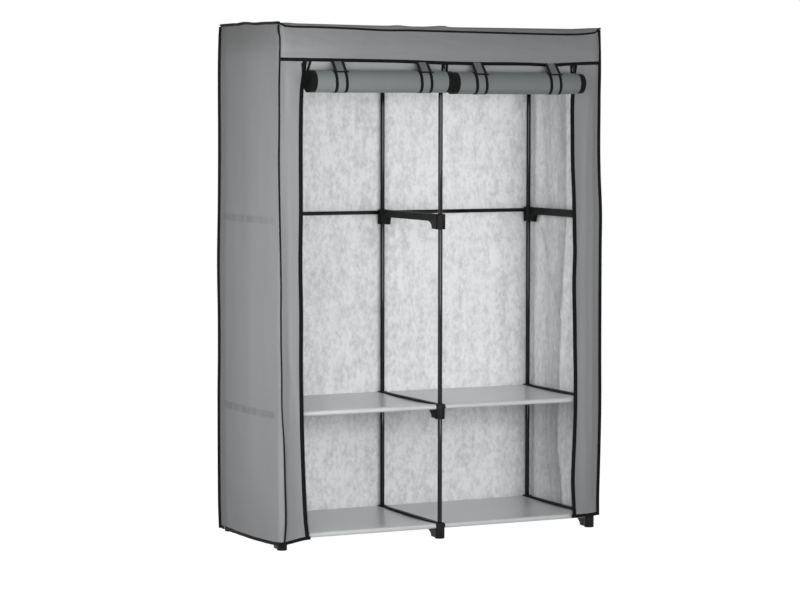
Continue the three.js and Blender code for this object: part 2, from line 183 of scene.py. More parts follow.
class ShelfSettings(bpy.types.PropertyGroup):
    """Sizes and colour of the cloth shelves"""

    shelf_colour: colour_value("Shelf cloth", "Coated cloth of the shelves", 203, 205, 207)
    thickness: length_value("Shelf thickness", "Thickness of the coated cloth", 0.9 * MM)
    sag: length_value("Sag", "How far a shelf sags midway", 5 * MM)
    seam_run: length_value("Seam run", "Distance from a tube to its sleeve's seam", 17 * MM)
    sleeve_gap: length_value("Sleeve gap", "Gap between a sleeve's end and the socket", 0.8 * MM)


class DoorSettings(bpy.types.PropertyGroup):
    """Sizes and colours of rolled doors, straps and zips"""

    roll_colour: colour_value("Rolled cloth", "Face of the door cloth that shows on the roll", 119, 123, 123)
    # The flap's cloth is painted paler than the roll's: painted light that stands for light through the cloth
    # from inside
    lit_flap_colour: colour_value("Flap cloth", "Hanging part of a door, lit through from inside", 162, 164, 165)
    roll_radius: length_value("Roll radius", "Radius of a rolled door", 36.5 * MM)
    roll_pitch: length_value("Roll pitch", "Distance between the turns of a roll", 2.75 * MM)
    roll_turns: number_value("Turns", "Turns in a roll", 11)
    cloth_thickness: length_value("Door cloth", "Thickness of the door cloth", 0.7 * MM)
    band_width: length_value("End band", "Black zip tape at both ends of a roll", 21 * MM)
    strap_width: length_value("Strap width", "Width of a roll strap", 45 * MM)
    strap_edge: length_value("Strap edge", "Black bound edge of a strap", 10 * MM)
    strap_thickness: length_value("Strap thickness", "Thickness of a strap", 1.1 * MM)
    strap_slant: length_value("Strap slant", "How far a strap drifts sideways round the roll", 17 * MM)


class StageSettings(bpy.types.PropertyGroup):
    """Camera, lamps and background"""

    lens_mm: number_value("Lens", "Focal length in mm", 123.75)
    camera_place: bpy.props.FloatVectorProperty(
        name="Camera", description="Place of the camera", default=(-4.086, -8.298, 1.4486), unit="LENGTH"
    )
    camera_turn: bpy.props.FloatVectorProperty(
        name="Camera turn", description="Tilt, roll and heading in degrees", default=(85.888, -0.067, -25.884)
    )
    sky: number_value("Sky", "Strength of the even light", 0.15)
    near: number_value("Near", "Watts of the small lamp near the left strip", 11.2)
    front: number_value("Front", "Watts of the broad lamp before the doors", 102)
    side: number_value("Side", "Watts of the lamp beside the left side", 9.6)
    behind: number_value("Behind", "Watts of the lamp behind the back", 45)


SETTINGS = {
    "wardrobe_frame": FrameSettings,
    "wardrobe_cover": CoverSettings,
    "wardrobe_shelves": ShelfSettings,
    "wardrobe_doors": DoorSettings,
    "wardrobe_stage": StageSettings,
}


# Small sums


def clamp(value, lowest=0.0, highest=1.0):
    return max(lowest, min(highest, value))


def smooth(share):
    share = clamp(share)
    return share * share * (3 - 2 * share)


def between(value, start, end):
    return (value - start) / (end - start)


def evenly(start, end, count):
    """Places from start to end with this many equal steps."""
    return [start + (end - start) * i / count for i in range(count + 1)]


def hump(value, centre, width):
    return math.exp(-(((value - centre) / width) ** 2))


def through(points, at):
    """A smooth curve through given (place, value) pairs."""
    if at <= points[0][0]:
        return points[0][1]
    if at >= points[-1][0]:
        return points[-1][1]
    i = max(k for k in range(len(points) - 1) if points[k][0] <= at)
    (x0, y0), (x1, y1) = points[i], points[i + 1]

    def slope(k):
        before, after = points[max(k - 1, 0)], points[min(k + 1, len(points) - 1)]
        return (after[1] - before[1]) / (after[0] - before[0])

    span = x1 - x0
    t = (at - x0) / span
    rise = (2 * t**3 - 3 * t**2 + 1) * y0 + (3 * t**2 - 2 * t**3) * y1
    return rise + span * ((t**3 - 2 * t**2 + t) * slope(i) + (t**3 - t**2) * slope(i + 1))


def waver(x, y, z=0.0):
    """Smooth noise from about -1 to 1 that is the same on every run."""
    return noise.noise(Vector((x, y, z)))


# Meshes


def add_object(name, mesh, materials):
    obj = bpy.data.objects.new(name, mesh)
    bpy.context.scene.collection.objects.link(obj)
    for material in materials:
        mesh.materials.append(material)
    return obj


def finish_mesh(mesh, sharp_degrees=40):
    mesh.validate()
    mesh.shade_smooth()
    mesh.set_sharp_from_angle(angle=math.radians(sharp_degrees))


def set_uv(mesh, uv):
    """Writes one (u, v) for each vertex as the mesh's UV layer."""
    layer = mesh.uv_layers.new(name="UVMap")
    corners = np.zeros(len(mesh.loops), int)
    mesh.loops.foreach_get("vertex_index", corners)
    layer.data.foreach_set("uv", np.array(uv, float)[corners].ravel())


def grid_mesh(name, points, cover_uv, material_of=None):
    """An open sheet from rows of points. cover_uv gives its own (u, v) in metres for each point."""
    rows, columns = len(points), len(points[0])
    faces, kinds = [], []
    for r in range(rows - 1):
        for c in range(columns - 1):
            a = r * columns + c
            faces.append((a, a + 1, a + columns + 1, a + columns))
            kinds.append(material_of(r, c) if material_of else 0)
    mesh = bpy.data.meshes.new(name)
    mesh.from_pydata([p for row in points for p in row], [], faces)
    mesh.polygons.foreach_set("material_index", kinds)
    set_uv(mesh, [p for row in cover_uv for p in row])
    return mesh


def sheet_object(name, points, cover_uv, materials, thickness, material_of=None, inner_shift=0):
    """A sheet of cloth whose outer face is the grid, and whose inner face lies one thickness behind."""
    obj = add_object(name, grid_mesh(name, points, cover_uv, material_of), materials)
    wall = obj.modifiers.new("thickness", "SOLIDIFY")
    wall.thickness = thickness
    wall.offset = -1
    wall.material_offset = inner_shift
    wall.use_even_offset = True
    bake(obj)
    finish_mesh(obj.data, 60)
    return obj


def bake(obj):
    """Applies the object's modifiers to its own mesh."""
    graph = bpy.context.evaluated_depsgraph_get()
    graph.update()
    made = bpy.data.meshes.new_from_object(obj.evaluated_get(graph), depsgraph=graph)
    obj.modifiers.clear()
    old = obj.data
    obj.data = made
    made.name = obj.name
    bpy.data.meshes.remove(old)
    return obj


def remove(obj):
    mesh = obj.data
    bpy.data.objects.remove(obj)
    bpy.data.meshes.remove(mesh)


def join(name, objects):
    """One mesh object from several, with their materials kept."""
    materials = []
    merged = bmesh.new()
    for obj in objects:
        start = len(merged.faces)
        merged.from_mesh(obj.data)
        merged.faces.ensure_lookup_table()
        slots = []
        for material in obj.data.materials:
            if material not in materials:
                materials.append(material)
            slots.append(materials.index(material))
        for face in merged.faces[start:]:
            face.material_index = slots[face.material_index]
    mesh = bpy.data.meshes.new(name)
    merged.to_mesh(mesh)
    merged.free()
    for obj in objects:
        remove(obj)
    return add_object(name, mesh, materials)


# Steps round each edge of a band, and turns in radians round a rim
ROUND_STEPS = 4
RIM_TURNS = (0.5, 1.05, 1.57)


def unit_rows(vectors):
    return vectors / np.linalg.norm(vectors, axis=1, keepdims=True)


def ribbon(name, points, across, width, thickness, material):
    """A band with round edges along a path. across is the direction of its width at each point."""
    path = np.array(points, float)
    across = unit_rows(np.array(across, float))
    along = unit_rows(np.gradient(path, axis=0))
    across = unit_rows(across - along * (across * along).sum(1, keepdims=True))
    face = np.cross(along, across)
    half, round_end = width / 2 - thickness / 2, thickness / 2
    arc = [math.pi * (i / ROUND_STEPS - 1 / 2) for i in range(ROUND_STEPS + 1)]
    outline = [(half + round_end * math.cos(t), round_end * math.sin(t)) for t in arc]
    outline += [(-half - round_end * math.cos(t), -round_end * math.sin(t)) for t in arc]
    rings = [path + across * a + face * b for a, b in outline]
    count, sides = len(path), len(outline)
    vertices = np.stack(rings, axis=1).reshape(-1, 3)
    faces = []
    for i in range(count - 1):
        for j in range(sides):
            k = (j + 1) % sides
            faces.append((i * sides + j, i * sides + k, (i + 1) * sides + k, (i + 1) * sides + j))
    faces.append(tuple(range(sides))[::-1])
    faces.append(tuple((count - 1) * sides + j for j in range(sides)))
    mesh = bpy.data.meshes.new(name)
    mesh.from_pydata(vertices.tolist(), [], faces)
    solid = bmesh.new()
    solid.from_mesh(mesh)
    bmesh.ops.recalc_face_normals(solid, faces=solid.faces)
    solid.to_mesh(mesh)
    solid.free()
    run = np.concatenate([[0], np.cumsum(np.linalg.norm(np.diff(path, axis=0), axis=1))])
    set_uv(mesh, [(j * (2 * width) / sides, s) for s in run for j in range(sides)])
    obj = add_object(name, mesh, [material])
    finish_mesh(mesh, 50)
    return obj


def lathe(profile, sides, axis="Z"):
    """A closed turned solid as a bmesh. The profile is a closed loop of (radius, height)."""
    solid = bmesh.new()
    rings = []
    for radius, height in profile:
        ring = []
        for i in range(sides):
            turn = 2 * math.pi * i / sides
            ring.append(solid.verts.new((radius * math.cos(turn), radius * math.sin(turn), height)))
        rings.append(ring)
    for k, ring in enumerate(rings):
        after = rings[(k + 1) % len(rings)]
        for i in range(sides):
            j = (i + 1) % sides
            solid.faces.new((ring[i], ring[j], after[j], after[i]))
    if axis == "X":
        bmesh.ops.rotate(solid, verts=solid.verts, matrix=Matrix.Rotation(math.pi / 2, 3, "Y"))
    bmesh.ops.recalc_face_normals(solid, faces=solid.faces)
    return solid


def lower_rim(radius, height, rim, turns=RIM_TURNS):
    """Points of a quarter round, up from a rim that lies at this height."""
    return [(radius - rim + rim * math.sin(t), height + rim - rim * math.cos(t)) for t in turns]


def upper_rim(radius, height, rim, turns=RIM_TURNS):
    """Points of a quarter round, up to a rim that lies at this height."""
    return [(radius - rim + rim * math.sin(t), height - rim + rim * math.cos(t)) for t in reversed(turns)]


def tube_profile(outer, wall, length, rim):
    """A tube's closed profile from z 0 to its length, with rounded rims outside."""
    inner = outer - wall
    rim = min(rim, wall * 0.6)
    profile = [(inner, 0.0), (outer - rim, 0.0)]
    profile += lower_rim(outer, 0, rim) + upper_rim(outer, length, rim)
    return profile + [(outer - rim, length), (inner, length)]


def to_object(name, solid, materials, sharp_degrees=40):
    mesh = bpy.data.meshes.new(name)
    solid.to_mesh(mesh)
    solid.free()
    obj = add_object(name, mesh, materials)
    finish_mesh(mesh, sharp_degrees)
    return obj


def boolean(obj, other, operation):
    """Joins or cuts obj with another object, which is used up."""
    step = obj.modifiers.new("cut", "BOOLEAN")
    step.object = other
    step.operation = operation
    step.solver = "EXACT"
    bake(obj)
    remove(other)


# Materials


def blank_material(name, colour, roughness):
    material = bpy.data.materials.new(name)
    material.use_nodes = True
    shader = material.node_tree.nodes["Principled BSDF"]
    shader.inputs["Base Color"].default_value = (*colour, 1)
    shader.inputs["Roughness"].default_value = roughness
    return material, material.node_tree, shader


def add_node(tree, kind, values=(), **facts):
    node = tree.nodes.new(kind)
    for name, value in facts.items():
        setattr(node, name, value)
    for socket, value in dict(values).items():
        node.inputs[socket].default_value = value
    return node


def sum_of(tree, operation, first, second, third=None):
    node = tree.nodes.new("ShaderNodeMath")
    node.operation = operation
    for socket, value in enumerate((first, second, third)):
        if value is None:
            continue
        if isinstance(value, (int, float)):
            node.inputs[socket].default_value = value
        else:
            tree.links.new(value, node.inputs[socket])
    return node.outputs[0]


def spread(tree, value, gain, base, centre=0.5):
    """base + gain * (value - centre), for a noise that lies round its centre."""
    return sum_of(tree, "MULTIPLY_ADD", sum_of(tree, "SUBTRACT", value, centre), gain, base)


def darkened(tree, tint, mask, depth):
    """The tint where the mask is 1, and less by this depth where it is 0."""
    return sum_of(tree, "MULTIPLY", tint, sum_of(tree, "MULTIPLY_ADD", mask, depth, 1 - depth))


def uv_of(tree):
    return add_node(tree, "ShaderNodeUVMap", uv_map="UVMap").outputs["UV"]


def place_of(tree):
    return add_node(tree, "ShaderNodeTexCoord").outputs["Object"]


def stretched(tree, source, scale):
    node = add_node(tree, "ShaderNodeMapping", {"Scale": scale})
    tree.links.new(source, node.inputs["Vector"])
    return node.outputs["Vector"]


def noise_of(tree, source, scale, detail=3.0, roughness=0.55):
    values = {"Scale": scale, "Detail": detail, "Roughness": roughness}
    node = add_node(tree, "ShaderNodeTexNoise", values)
    tree.links.new(source, node.inputs["Vector"])
    return node.outputs["Fac"]


def tinted(tree, colour, factor_socket, shader):
    """Multiplies the base colour by a grey factor socket."""
    node = add_node(tree, "ShaderNodeMix", data_type="RGBA", blend_type="MULTIPLY")
    node.inputs["Factor"].default_value = 1
    node.inputs["A"].default_value = (*colour, 1)
    tree.links.new(factor_socket, node.inputs["B"])
    tree.links.new(node.outputs["Result"], shader.inputs["Base Color"])


def bump_from(tree, height, distance, shader, strength=1.0, under=None):
    node = add_node(tree, "ShaderNodeBump", {"Distance": distance, "Strength": strength})
    tree.links.new(height, node.inputs["Height"])
    if under is not None:
        tree.links.new(under, node.inputs["Normal"])
    tree.links.new(node.outputs["Normal"], shader.inputs["Normal"])
    return node.outputs["Normal"]


DOT_PITCH = 1.7 * MM
BAR_SHADE = 0.22
BACK_SEAM_SHADE = 0.22
# Height of the rolls' underside, below which a painted shade darkens their cloth
ROLL_UNDERSIDE = 1475 * MM


def cloth_material(name, colour, roughness=0.8, cloud=0.085, fleck=0.06, sheen=0.12, bars=False, blotch=0.0,
                   seam=0.0, lit=False, under=0.0):
    """Pressed non-woven cloth: an embossed grid of dots, fine fibres and soft clouds. With bars it has
    the faint painted shade of the side bars that press from behind and a painted shade beside the back
    seams, with seam a painted shade towards the cover's top, with under a painted shade on a roll's
    underside, and with lit the mesh's own attribute of painted light and shade."""
    material, tree, shader = blank_material(name, colour, roughness)
    shader.inputs["Sheen Weight"].default_value = sheen
    shader.inputs["Sheen Roughness"].default_value = 0.5
    shader.inputs["Specular IOR Level"].default_value = 0.15
    uv, place = uv_of(tree), place_of(tree)
    axes = add_node(tree, "ShaderNodeSeparateXYZ")
    tree.links.new(place, axes.inputs["Vector"])
    dots = add_node(
        tree, "ShaderNodeTexVoronoi", {"Scale": 1 / DOT_PITCH, "Randomness": 0.0}, voronoi_dimensions="2D"
    )
    tree.links.new(uv, dots.inputs["Vector"])
    dot = sum_of(tree, "MULTIPLY", dots.outputs["Distance"], 1.6)
    fibre = noise_of(tree, stretched(tree, uv, (900, 420, 1)), 1, 4, 0.65)
    clouds = noise_of(tree, stretched(tree, place, (9, 9, 3.5)), 1, 3, 0.6)
    tint = spread(tree, clouds, cloud * 2, 1.0)
    tint = spread(tree, fibre, fleck * 2, tint)
    if blotch:
        tint = blotched(tree, tint, place, axes, blotch)
    if bars:
        tint = sum_of(tree, "MULTIPLY", tint, bar_shade(tree, place, axes))
    # Painted shade: the seam factor darkens the cloth towards the cover's top
    if seam:
        below = fade(tree, axes.outputs["Z"], COVER_TOP - 135 * MM, COVER_TOP - 5 * MM)
        tint = darkened(tree, tint, below, seam)
    # Painted shade on the underside of a roll
    if under:
        beneath = fade(tree, axes.outputs["Z"], ROLL_UNDERSIDE, ROLL_UNDERSIDE + 22 * MM)
        tint = sum_of(tree, "MULTIPLY", tint, sum_of(tree, "MULTIPLY_ADD", beneath, -under, 1))
    if bars:
        before = fade(tree, axes.outputs["Y"], BACK_Y - 80 * MM, BACK_Y - 12 * MM)
        tint = darkened(tree, tint, before, BACK_SEAM_SHADE)
    if lit:
        light = add_node(tree, "ShaderNodeAttribute", attribute_name="light", attribute_type="GEOMETRY")
        tint = sum_of(tree, "MULTIPLY", tint, light.outputs["Fac"])
    tinted(tree, colour, tint, shader)
    soft = noise_of(tree, stretched(tree, place, (30, 30, 14)), 1, 3, 0.5)
    relief_so_far = bump_from(tree, soft, 2.2 * MM, shader, 0.35)
    relief_so_far = bump_from(tree, fibre, 0.12 * MM, shader, 0.5, relief_so_far)
    bump_from(tree, dot, 0.16 * MM, shader, 0.6, relief_so_far)
    return material


def blotched(tree, tint, place, axes, blotch):
    """The lining's mottling: small spots, wide patches and streaks that are fainter at the sides."""
    coarse = noise_of(tree, stretched(tree, place, (72, 72, 48)), 1, 6, 0.72)
    tint = spread(tree, coarse, blotch * 1.9, tint)
    patch = noise_of(tree, stretched(tree, place, (24, 24, 15)), 1, 2, 0.5)
    tint = spread(tree, patch, blotch * 0.7, tint)
    streaks = noise_of(tree, stretched(tree, place, (30, 60, 3.5)), 1, 3, 0.55)
    from_middle = sum_of(tree, "ABSOLUTE", axes.outputs["X"], 0)
    inside = fade(tree, from_middle, HALF_WIDTH - 60 * MM, HALF_WIDTH - 40 * MM)
    strength = sum_of(tree, "MULTIPLY_ADD", inside, blotch * 0.1, blotch * 0.4)
    streaks = sum_of(tree, "MULTIPLY", sum_of(tree, "SUBTRACT", streaks, 0.5), strength)
    return sum_of(tree, "MINIMUM", sum_of(tree, "ADD", tint, streaks), 1.2)


def bar_shade(tree, place, axes):
    """Darker bands at the height of the shelf and brace bars, broken like the contact of the cloth."""
    height = settings("wardrobe_frame").bar_height
    shade = None
    for level in ("shelf", "brace"):
        centre = BAR_TOP[level] - height / 2
        away = sum_of(tree, "ABSOLUTE", sum_of(tree, "SUBTRACT", axes.outputs["Z"], centre), 0)
        band = fade(tree, away, 0.32 * height, 0.62 * height)
        shade = band if shade is None else sum_of(tree, "ADD", shade, band)
    forward = sum_of(tree, "MULTIPLY", axes.outputs["Y"], -1)
    on_side = fade(tree, forward, -FRONT_Y - 55 * MM, -FRONT_Y - 25 * MM)
    off_back = fade(tree, axes.outputs["Y"], BACK_Y - 50 * MM, BACK_Y - 15 * MM)
    patches = noise_of(tree, stretched(tree, place, (1, 34, 12)), 1, 3, 0.6)
    patches = spread(tree, patches, 3.0, 0.55, 0.42)
    patches = sum_of(tree, "MAXIMUM", sum_of(tree, "MINIMUM", patches, 1.25), 0.25)
    shade = sum_of(tree, "MULTIPLY", shade, sum_of(tree, "MULTIPLY", on_side, off_back))
    shade = sum_of(tree, "MULTIPLY", shade, sum_of(tree, "MULTIPLY", patches, BAR_SHADE))
    return sum_of(tree, "SUBTRACT", 1.0, shade)


def fade(tree, value, start, end):
    """1 below start, falling smoothly to 0 at end."""
    node = add_node(tree, "ShaderNodeMapRange", interpolation_type="SMOOTHSTEP")
    for socket, number in (("From Min", start), ("From Max", end), ("To Min", 1), ("To Max", 0)):
        node.inputs[socket].default_value = number
    tree.links.new(value, node.inputs["Value"])
    return node.outputs["Result"]


def tape_material(name, colour):
    """Black woven tape: fine ribs across and a slight wear."""
    material, tree, shader = blank_material(name, colour, 0.7)
    shader.inputs["Sheen Weight"].default_value = 0.03
    shader.inputs["Specular IOR Level"].default_value = 0.08
    values = {"Scale": 260, "Distortion": 0.6, "Detail": 1.0}
    ribs = add_node(tree, "ShaderNodeTexWave", values, bands_direction="Y")
    tree.links.new(uv_of(tree), ribs.inputs["Vector"])
    wear = noise_of(tree, place_of(tree), 45, 4, 0.6)
    tint = sum_of(tree, "MULTIPLY_ADD", wear, 0.7, 0.65)
    tint = sum_of(tree, "MULTIPLY_ADD", ribs.outputs["Fac"], 0.15, tint)
    tinted(tree, colour, tint, shader)
    bump_from(tree, ribs.outputs["Fac"], 0.15 * MM, shader, 0.6)
    return material


def shelf_material(name, colour):
    """Coated shelf cloth: smooth and glossy, with a soft uneven sheen."""
    material, tree, shader = blank_material(name, colour, 0.34)
    shader.inputs["Coat Weight"].default_value = 0.35
    shader.inputs["Coat Roughness"].default_value = 0.22
    weave = noise_of(tree, stretched(tree, uv_of(tree), (1300, 1300, 1)), 1, 2, 0.5)
    clouds = noise_of(tree, stretched(tree, place_of(tree), (7, 12, 7)), 1, 3, 0.55)
    tinted(tree, colour, spread(tree, weave, 0.06, spread(tree, clouds, 0.16, 1.0)), shader)
    rough = sum_of(tree, "MULTIPLY_ADD", clouds, 0.22, 0.24)
    tree.links.new(rough, shader.inputs["Roughness"])
    under = bump_from(tree, clouds, 1.6 * MM, shader, 0.25)
    bump_from(tree, weave, 0.05 * MM, shader, 0.5, under)
    return material


def steel_material(name, colour):
    """Black powder coat: semi-gloss with a fine orange peel."""
    material, tree, shader = blank_material(name, colour, 0.3)
    shader.inputs["Specular IOR Level"].default_value = 0.3
    place = place_of(tree)
    peel = noise_of(tree, place, 900, 2, 0.5)
    smear = noise_of(tree, stretched(tree, place, (60, 60, 8)), 1, 3, 0.5)
    tree.links.new(sum_of(tree, "MULTIPLY_ADD", smear, 0.08, 0.06), shader.inputs["Roughness"])
    tinted(tree, colour, sum_of(tree, "MULTIPLY_ADD", smear, 0.5, 0.75), shader)
    bump_from(tree, peel, 0.03 * MM, shader, 0.5)
    return material


def plastic_material(name, colour):
    """Moulded black plastic with a fine grain."""
    material, tree, shader = blank_material(name, colour, 0.45)
    shader.inputs["Specular IOR Level"].default_value = 0.14
    place = place_of(tree)
    grain = noise_of(tree, place, 1500, 2, 0.6)
    worn = noise_of(tree, place, 28, 4, 0.6)
    tree.links.new(sum_of(tree, "MULTIPLY_ADD", worn, 0.25, 0.34), shader.inputs["Roughness"])
    tinted(tree, colour, sum_of(tree, "MULTIPLY_ADD", worn, 0.6, 0.7), shader)
    bump_from(tree, grain, 0.06 * MM, shader, 0.5)
    return material


def metal_material(name, colour):
    """Black lacquered zip slider."""
    material, tree, shader = blank_material(name, colour, 0.32)
    shader.inputs["Metallic"].default_value = 0.6
    place = place_of(tree)
    worn = noise_of(tree, place, 420, 4, 0.6)
    tinted(tree, colour, sum_of(tree, "MULTIPLY_ADD", worn, 1.1, 0.5), shader)
    tree.links.new(sum_of(tree, "MULTIPLY_ADD", worn, 0.25, 0.2), shader.inputs["Roughness"])
    bump_from(tree, worn, 0.05 * MM, shader, 0.4)
    return material


LINING = {"cloud": 0.08, "fleck": 0.08, "sheen": 0}

# Each material's maker, the settings and the colour that it reads, and the maker's other values
MATERIALS = {
    "black_steel": (steel_material, "wardrobe_frame", "steel_colour", {}),
    "black_plastic": (plastic_material, "wardrobe_frame", "plastic_colour", {}),
    # seam is the depth of a painted shade that darkens the cloth towards the cover's top
    "grey_cloth": (cloth_material, "wardrobe_cover", "cloth_colour", {"seam": 0.12}),
    "grey_cloth_on_bars": (cloth_material, "wardrobe_cover", "cloth_colour", {"bars": True, "seam": 0.25}),
    # The pale lining: painted light that comes through the cloth
    "inner_cloth": (cloth_material, "wardrobe_cover", "lit_lining_colour", {**LINING, "blotch": 0.55}),
    # The sides' inner faces: a dimmer copy of the pale lining, painted shade
    "side_lining": (
        cloth_material, "wardrobe_cover", "side_lining_colour", {**LINING, "blotch": 0.5, "lit": True}
    ),
    # under is the depth of the painted shade on a roll's underside
    "rolled_cloth": (cloth_material, "wardrobe_doors", "roll_colour", {"roughness": 0.7, "under": 0.18}),
    # The hanging flap: a paler copy of the door cloth, painted light
    "flap_cloth": (cloth_material, "wardrobe_doors", "lit_flap_colour", {"roughness": 0.7}),
    "black_tape": (tape_material, "wardrobe_cover", "binding_colour", {}),
    "coated_cloth": (shelf_material, "wardrobe_shelves", "shelf_colour", {}),
    "black_lacquer": (metal_material, "wardrobe_cover", "binding_colour", {}),
}


def make_material(name):
    maker, group, colour, values = MATERIALS[name]
    return maker(name, getattr(settings(group), colour), **values)


def material_named(name):
    return bpy.data.materials.get(name) or make_material(name)


def materials_named(*names):
    return [material_named(name) for name in names]


# The outline of the cover, seen from above


GirthMarks = namedtuple("GirthMarks", "front_end side_start side_end back_start total back_seam")


def girth_marks():
    """Where the front arc, the side, the back arc and the back start, where the outline's half ends
    and where the back corner's seam is, from the middle of the front."""
    cover = settings("wardrobe_cover")
    front_end = HALF_WIDTH - cover.front_round
    side_start = front_end + cover.front_round * math.pi / 2
    side_end = side_start + BACK_Y - FRONT_Y - cover.front_round - cover.back_round
    back_start = side_end + cover.back_round * math.pi / 2
    total = back_start + HALF_WIDTH - cover.back_round
    return GirthMarks(front_end, side_start, side_end, back_start, total, (side_end + back_start) / 2)


def girth(q):
    """(place, outward direction) on the cover's outline, q metres round from the middle of the front.
    Negative q goes round by the left."""
    cover = settings("wardrobe_cover")
    front_end, side_start, side_end, back_start, _, _ = girth_marks()
    hand, a = (-1 if q < 0 else 1), abs(q)
    if a <= front_end:
        x, y, nx, ny = a, FRONT_Y, 0, -1
    elif a <= side_start:
        turn = (a - front_end) / cover.front_round
        nx, ny = math.sin(turn), -math.cos(turn)
        x, y = front_end + cover.front_round * nx, FRONT_Y + cover.front_round * (1 + ny)
    elif a <= side_end:
        x, y, nx, ny = HALF_WIDTH, FRONT_Y + cover.front_round + a - side_start, 1, 0
    elif a <= back_start:
        turn = (a - side_end) / cover.back_round
        nx, ny = math.cos(turn), math.sin(turn)
        x = HALF_WIDTH - cover.back_round * (1 - nx)
        y = BACK_Y - cover.back_round * (1 - ny)
    else:
        x, y, nx, ny = HALF_WIDTH - cover.back_round - (a - back_start), BACK_Y, 0, 1
    return Vector((hand * x, y, 0)), Vector((hand * nx, ny, 0))


def level_share(z):
    """0 where a side bar holds the cloth out, 1 midway between two of them."""
    heights = [BAR_TOP[level] - settings("wardrobe_frame").bar_height / 2 for level in LEVELS]
    for lower, upper in zip(heights, heights[1:]):
        if lower < z < upper:
            return math.sin(math.pi * between(z, lower, upper))
    return 0.0


# Long folds of the cover: (place round the cover, lean, half width, depth, from z, to z)
SIDE_FOLDS = (
    (-0.735, 0.010, 0.030, 1.6 * MM, 0.0, 1.0),
    (-0.860, -0.012, 0.045, 2.2 * MM, 0.5, 1.7),
    (-0.950, 0.016, 0.028, 1.8 * MM, 0.0, 1.7),
    (-0.690, 0.020, 0.020, 1.2 * MM, 1.1, 1.7),
    (0.960, 0.02, 0.050, -11.0 * MM, 0.1, 1.55),
    (0.905, 0.60, 0.014, 9.0 * MM, 0.76, 1.00),
    (0.955, 0.22, 0.014, 7.0 * MM, 1.18, 1.50),
    (0.900, 0.08, 0.010, 3.4 * MM, 1.10, 1.50),
    (0.985, 0.03, 0.012, 2.4 * MM, 0.20, 1.7),
    (0.875, -0.05, 0.012, 2.6 * MM, 0.10, 0.70),
    (0.935, 0.10, 0.014, 3.2 * MM, 0.10, 0.62),
    (0.860, 0.10, 0.010, 2.4 * MM, 0.90, 1.7),
)
# The right side's crease: (height, place round the cover)
RIDGE = (
    (0.1, 0.825), (0.44, 0.836), (0.6, 0.820), (0.72, 0.806), (0.88, 0.797), (0.98, 0.790), (1.07, 0.790),
    (1.28, 0.784), (1.7, 0.790),
)


# Depth of that crease in millimetres at the side bars, and what it gains between them
CREASE_AT_BARS = 5.0
CREASE_BETWEEN = 10.0


def inner_ridge(q, z):
    """A long crease of the right side, pushed in between its corner and its middle."""
    line = through(RIDGE, z)
    reach = 0.20 if q > line else 0.065
    share = max(0.0, 1 - abs(q - line) / reach)
    ends = smooth(between(z, 0.05, 0.3)) * smooth(between(z, 1.69, 1.5))
    return -(CREASE_AT_BARS + CREASE_BETWEEN * level_share(z) ** 0.7) * MM * share * ends


def crease_light(q, z):
    """Painted light and shade on the right side's inner face: paler before its crease and in the back corner,
    dull between, with a painted shade along a diagonal crease.
    """
    away = q - through(RIDGE, z)
    light = 1.02 + 0.11 * smooth(between(away, 0.004, -0.005)) + 0.34 * smooth(between(q, 0.93, 1.03))
    light -= 0.33 * math.exp(-((max(away, 0) / 0.06) ** 2)) * smooth(between(away, -0.005, 0.004))
    light -= 0.10 * hump(away, 0.002, 0.006)
    diagonal = hump(q, 0.905 + 0.60 * (z - 0.88), 0.012)
    return light - 0.16 * diagonal * smooth(between(z, 0.70, 0.78)) * smooth(between(z, 1.04, 1.0))


def light_inner_face(obj):
    """Writes crease_light as the point attribute that the lining reads, even on the left."""
    cover = settings("wardrobe_cover")
    shift = girth_marks().side_start - FRONT_Y - cover.front_round
    layer = obj.data.attributes.new("light", "FLOAT", "POINT")
    for value, vertex in zip(layer.data, obj.data.vertices):
        place = vertex.co
        value.value = crease_light(place.y + shift, place.z) if place.x > HALF_WIDTH - 60 * MM else 1.0


def left_swell(a, z):
    """The left side falls away towards its back seam, most in the lower two thirds."""
    _, side_start, side_end, *_ = girth_marks()
    ahead = max(0.0, side_end - a)
    low = smooth(between(z, 1.30, 0.95))
    rise = (12.0 + 3.0 * low) * (1 - math.exp(-ahead / (0.085 - 0.045 * low)))
    ends = smooth(between(z, 1.695, 1.60)) * (0.75 + 0.25 * smooth(between(z, 0.03, 0.2)))
    return rise * MM * ends * smooth(between(a, side_start, side_start + 0.24))


# On the back the place is the distance from its middle, seen from the front
BACK_FOLDS = (
    (-0.470, 0.020, 0.022, 3.2 * MM, 0.6, 1.7),
    (-0.400, -0.030, 0.016, 2.6 * MM, 0.9, 1.7),
    (-0.300, 0.012, 0.012, 2.4 * MM, 0.0, 1.2),
    (-0.200, -0.015, 0.030, 3.0 * MM, 0.4, 1.7),
    (-0.095, 0.006, 0.010, 1.8 * MM, 0.0, 1.7),
    (0.085, 0.004, 0.007, 2.4 * MM, 0.0, 1.7),
    (0.190, -0.016, 0.030, 2.8 * MM, 0.2, 1.3),
    (0.270, 0.008, 0.008, 1.8 * MM, 0.0, 1.7),
    (0.350, 0.015, 0.028, 3.0 * MM, 0.5, 1.7),
    (0.470, -0.012, 0.020, 2.2 * MM, 0.0, 1.0),
)
FOLD_FADE = 0.12


def folds_at(folds, place, z):
    depth = 0.0
    for centre, lean, width, size, start, end in folds:
        if start - FOLD_FADE < z < end + FOLD_FADE:
            window = smooth(between(z, start - FOLD_FADE, start)) * smooth(between(z, end + FOLD_FADE, end))
            centre += lean * (z - (start + end) / 2) + 0.012 * waver(z * 3, centre * 9)
            depth += size * window * hump(place, centre, width)
    return depth


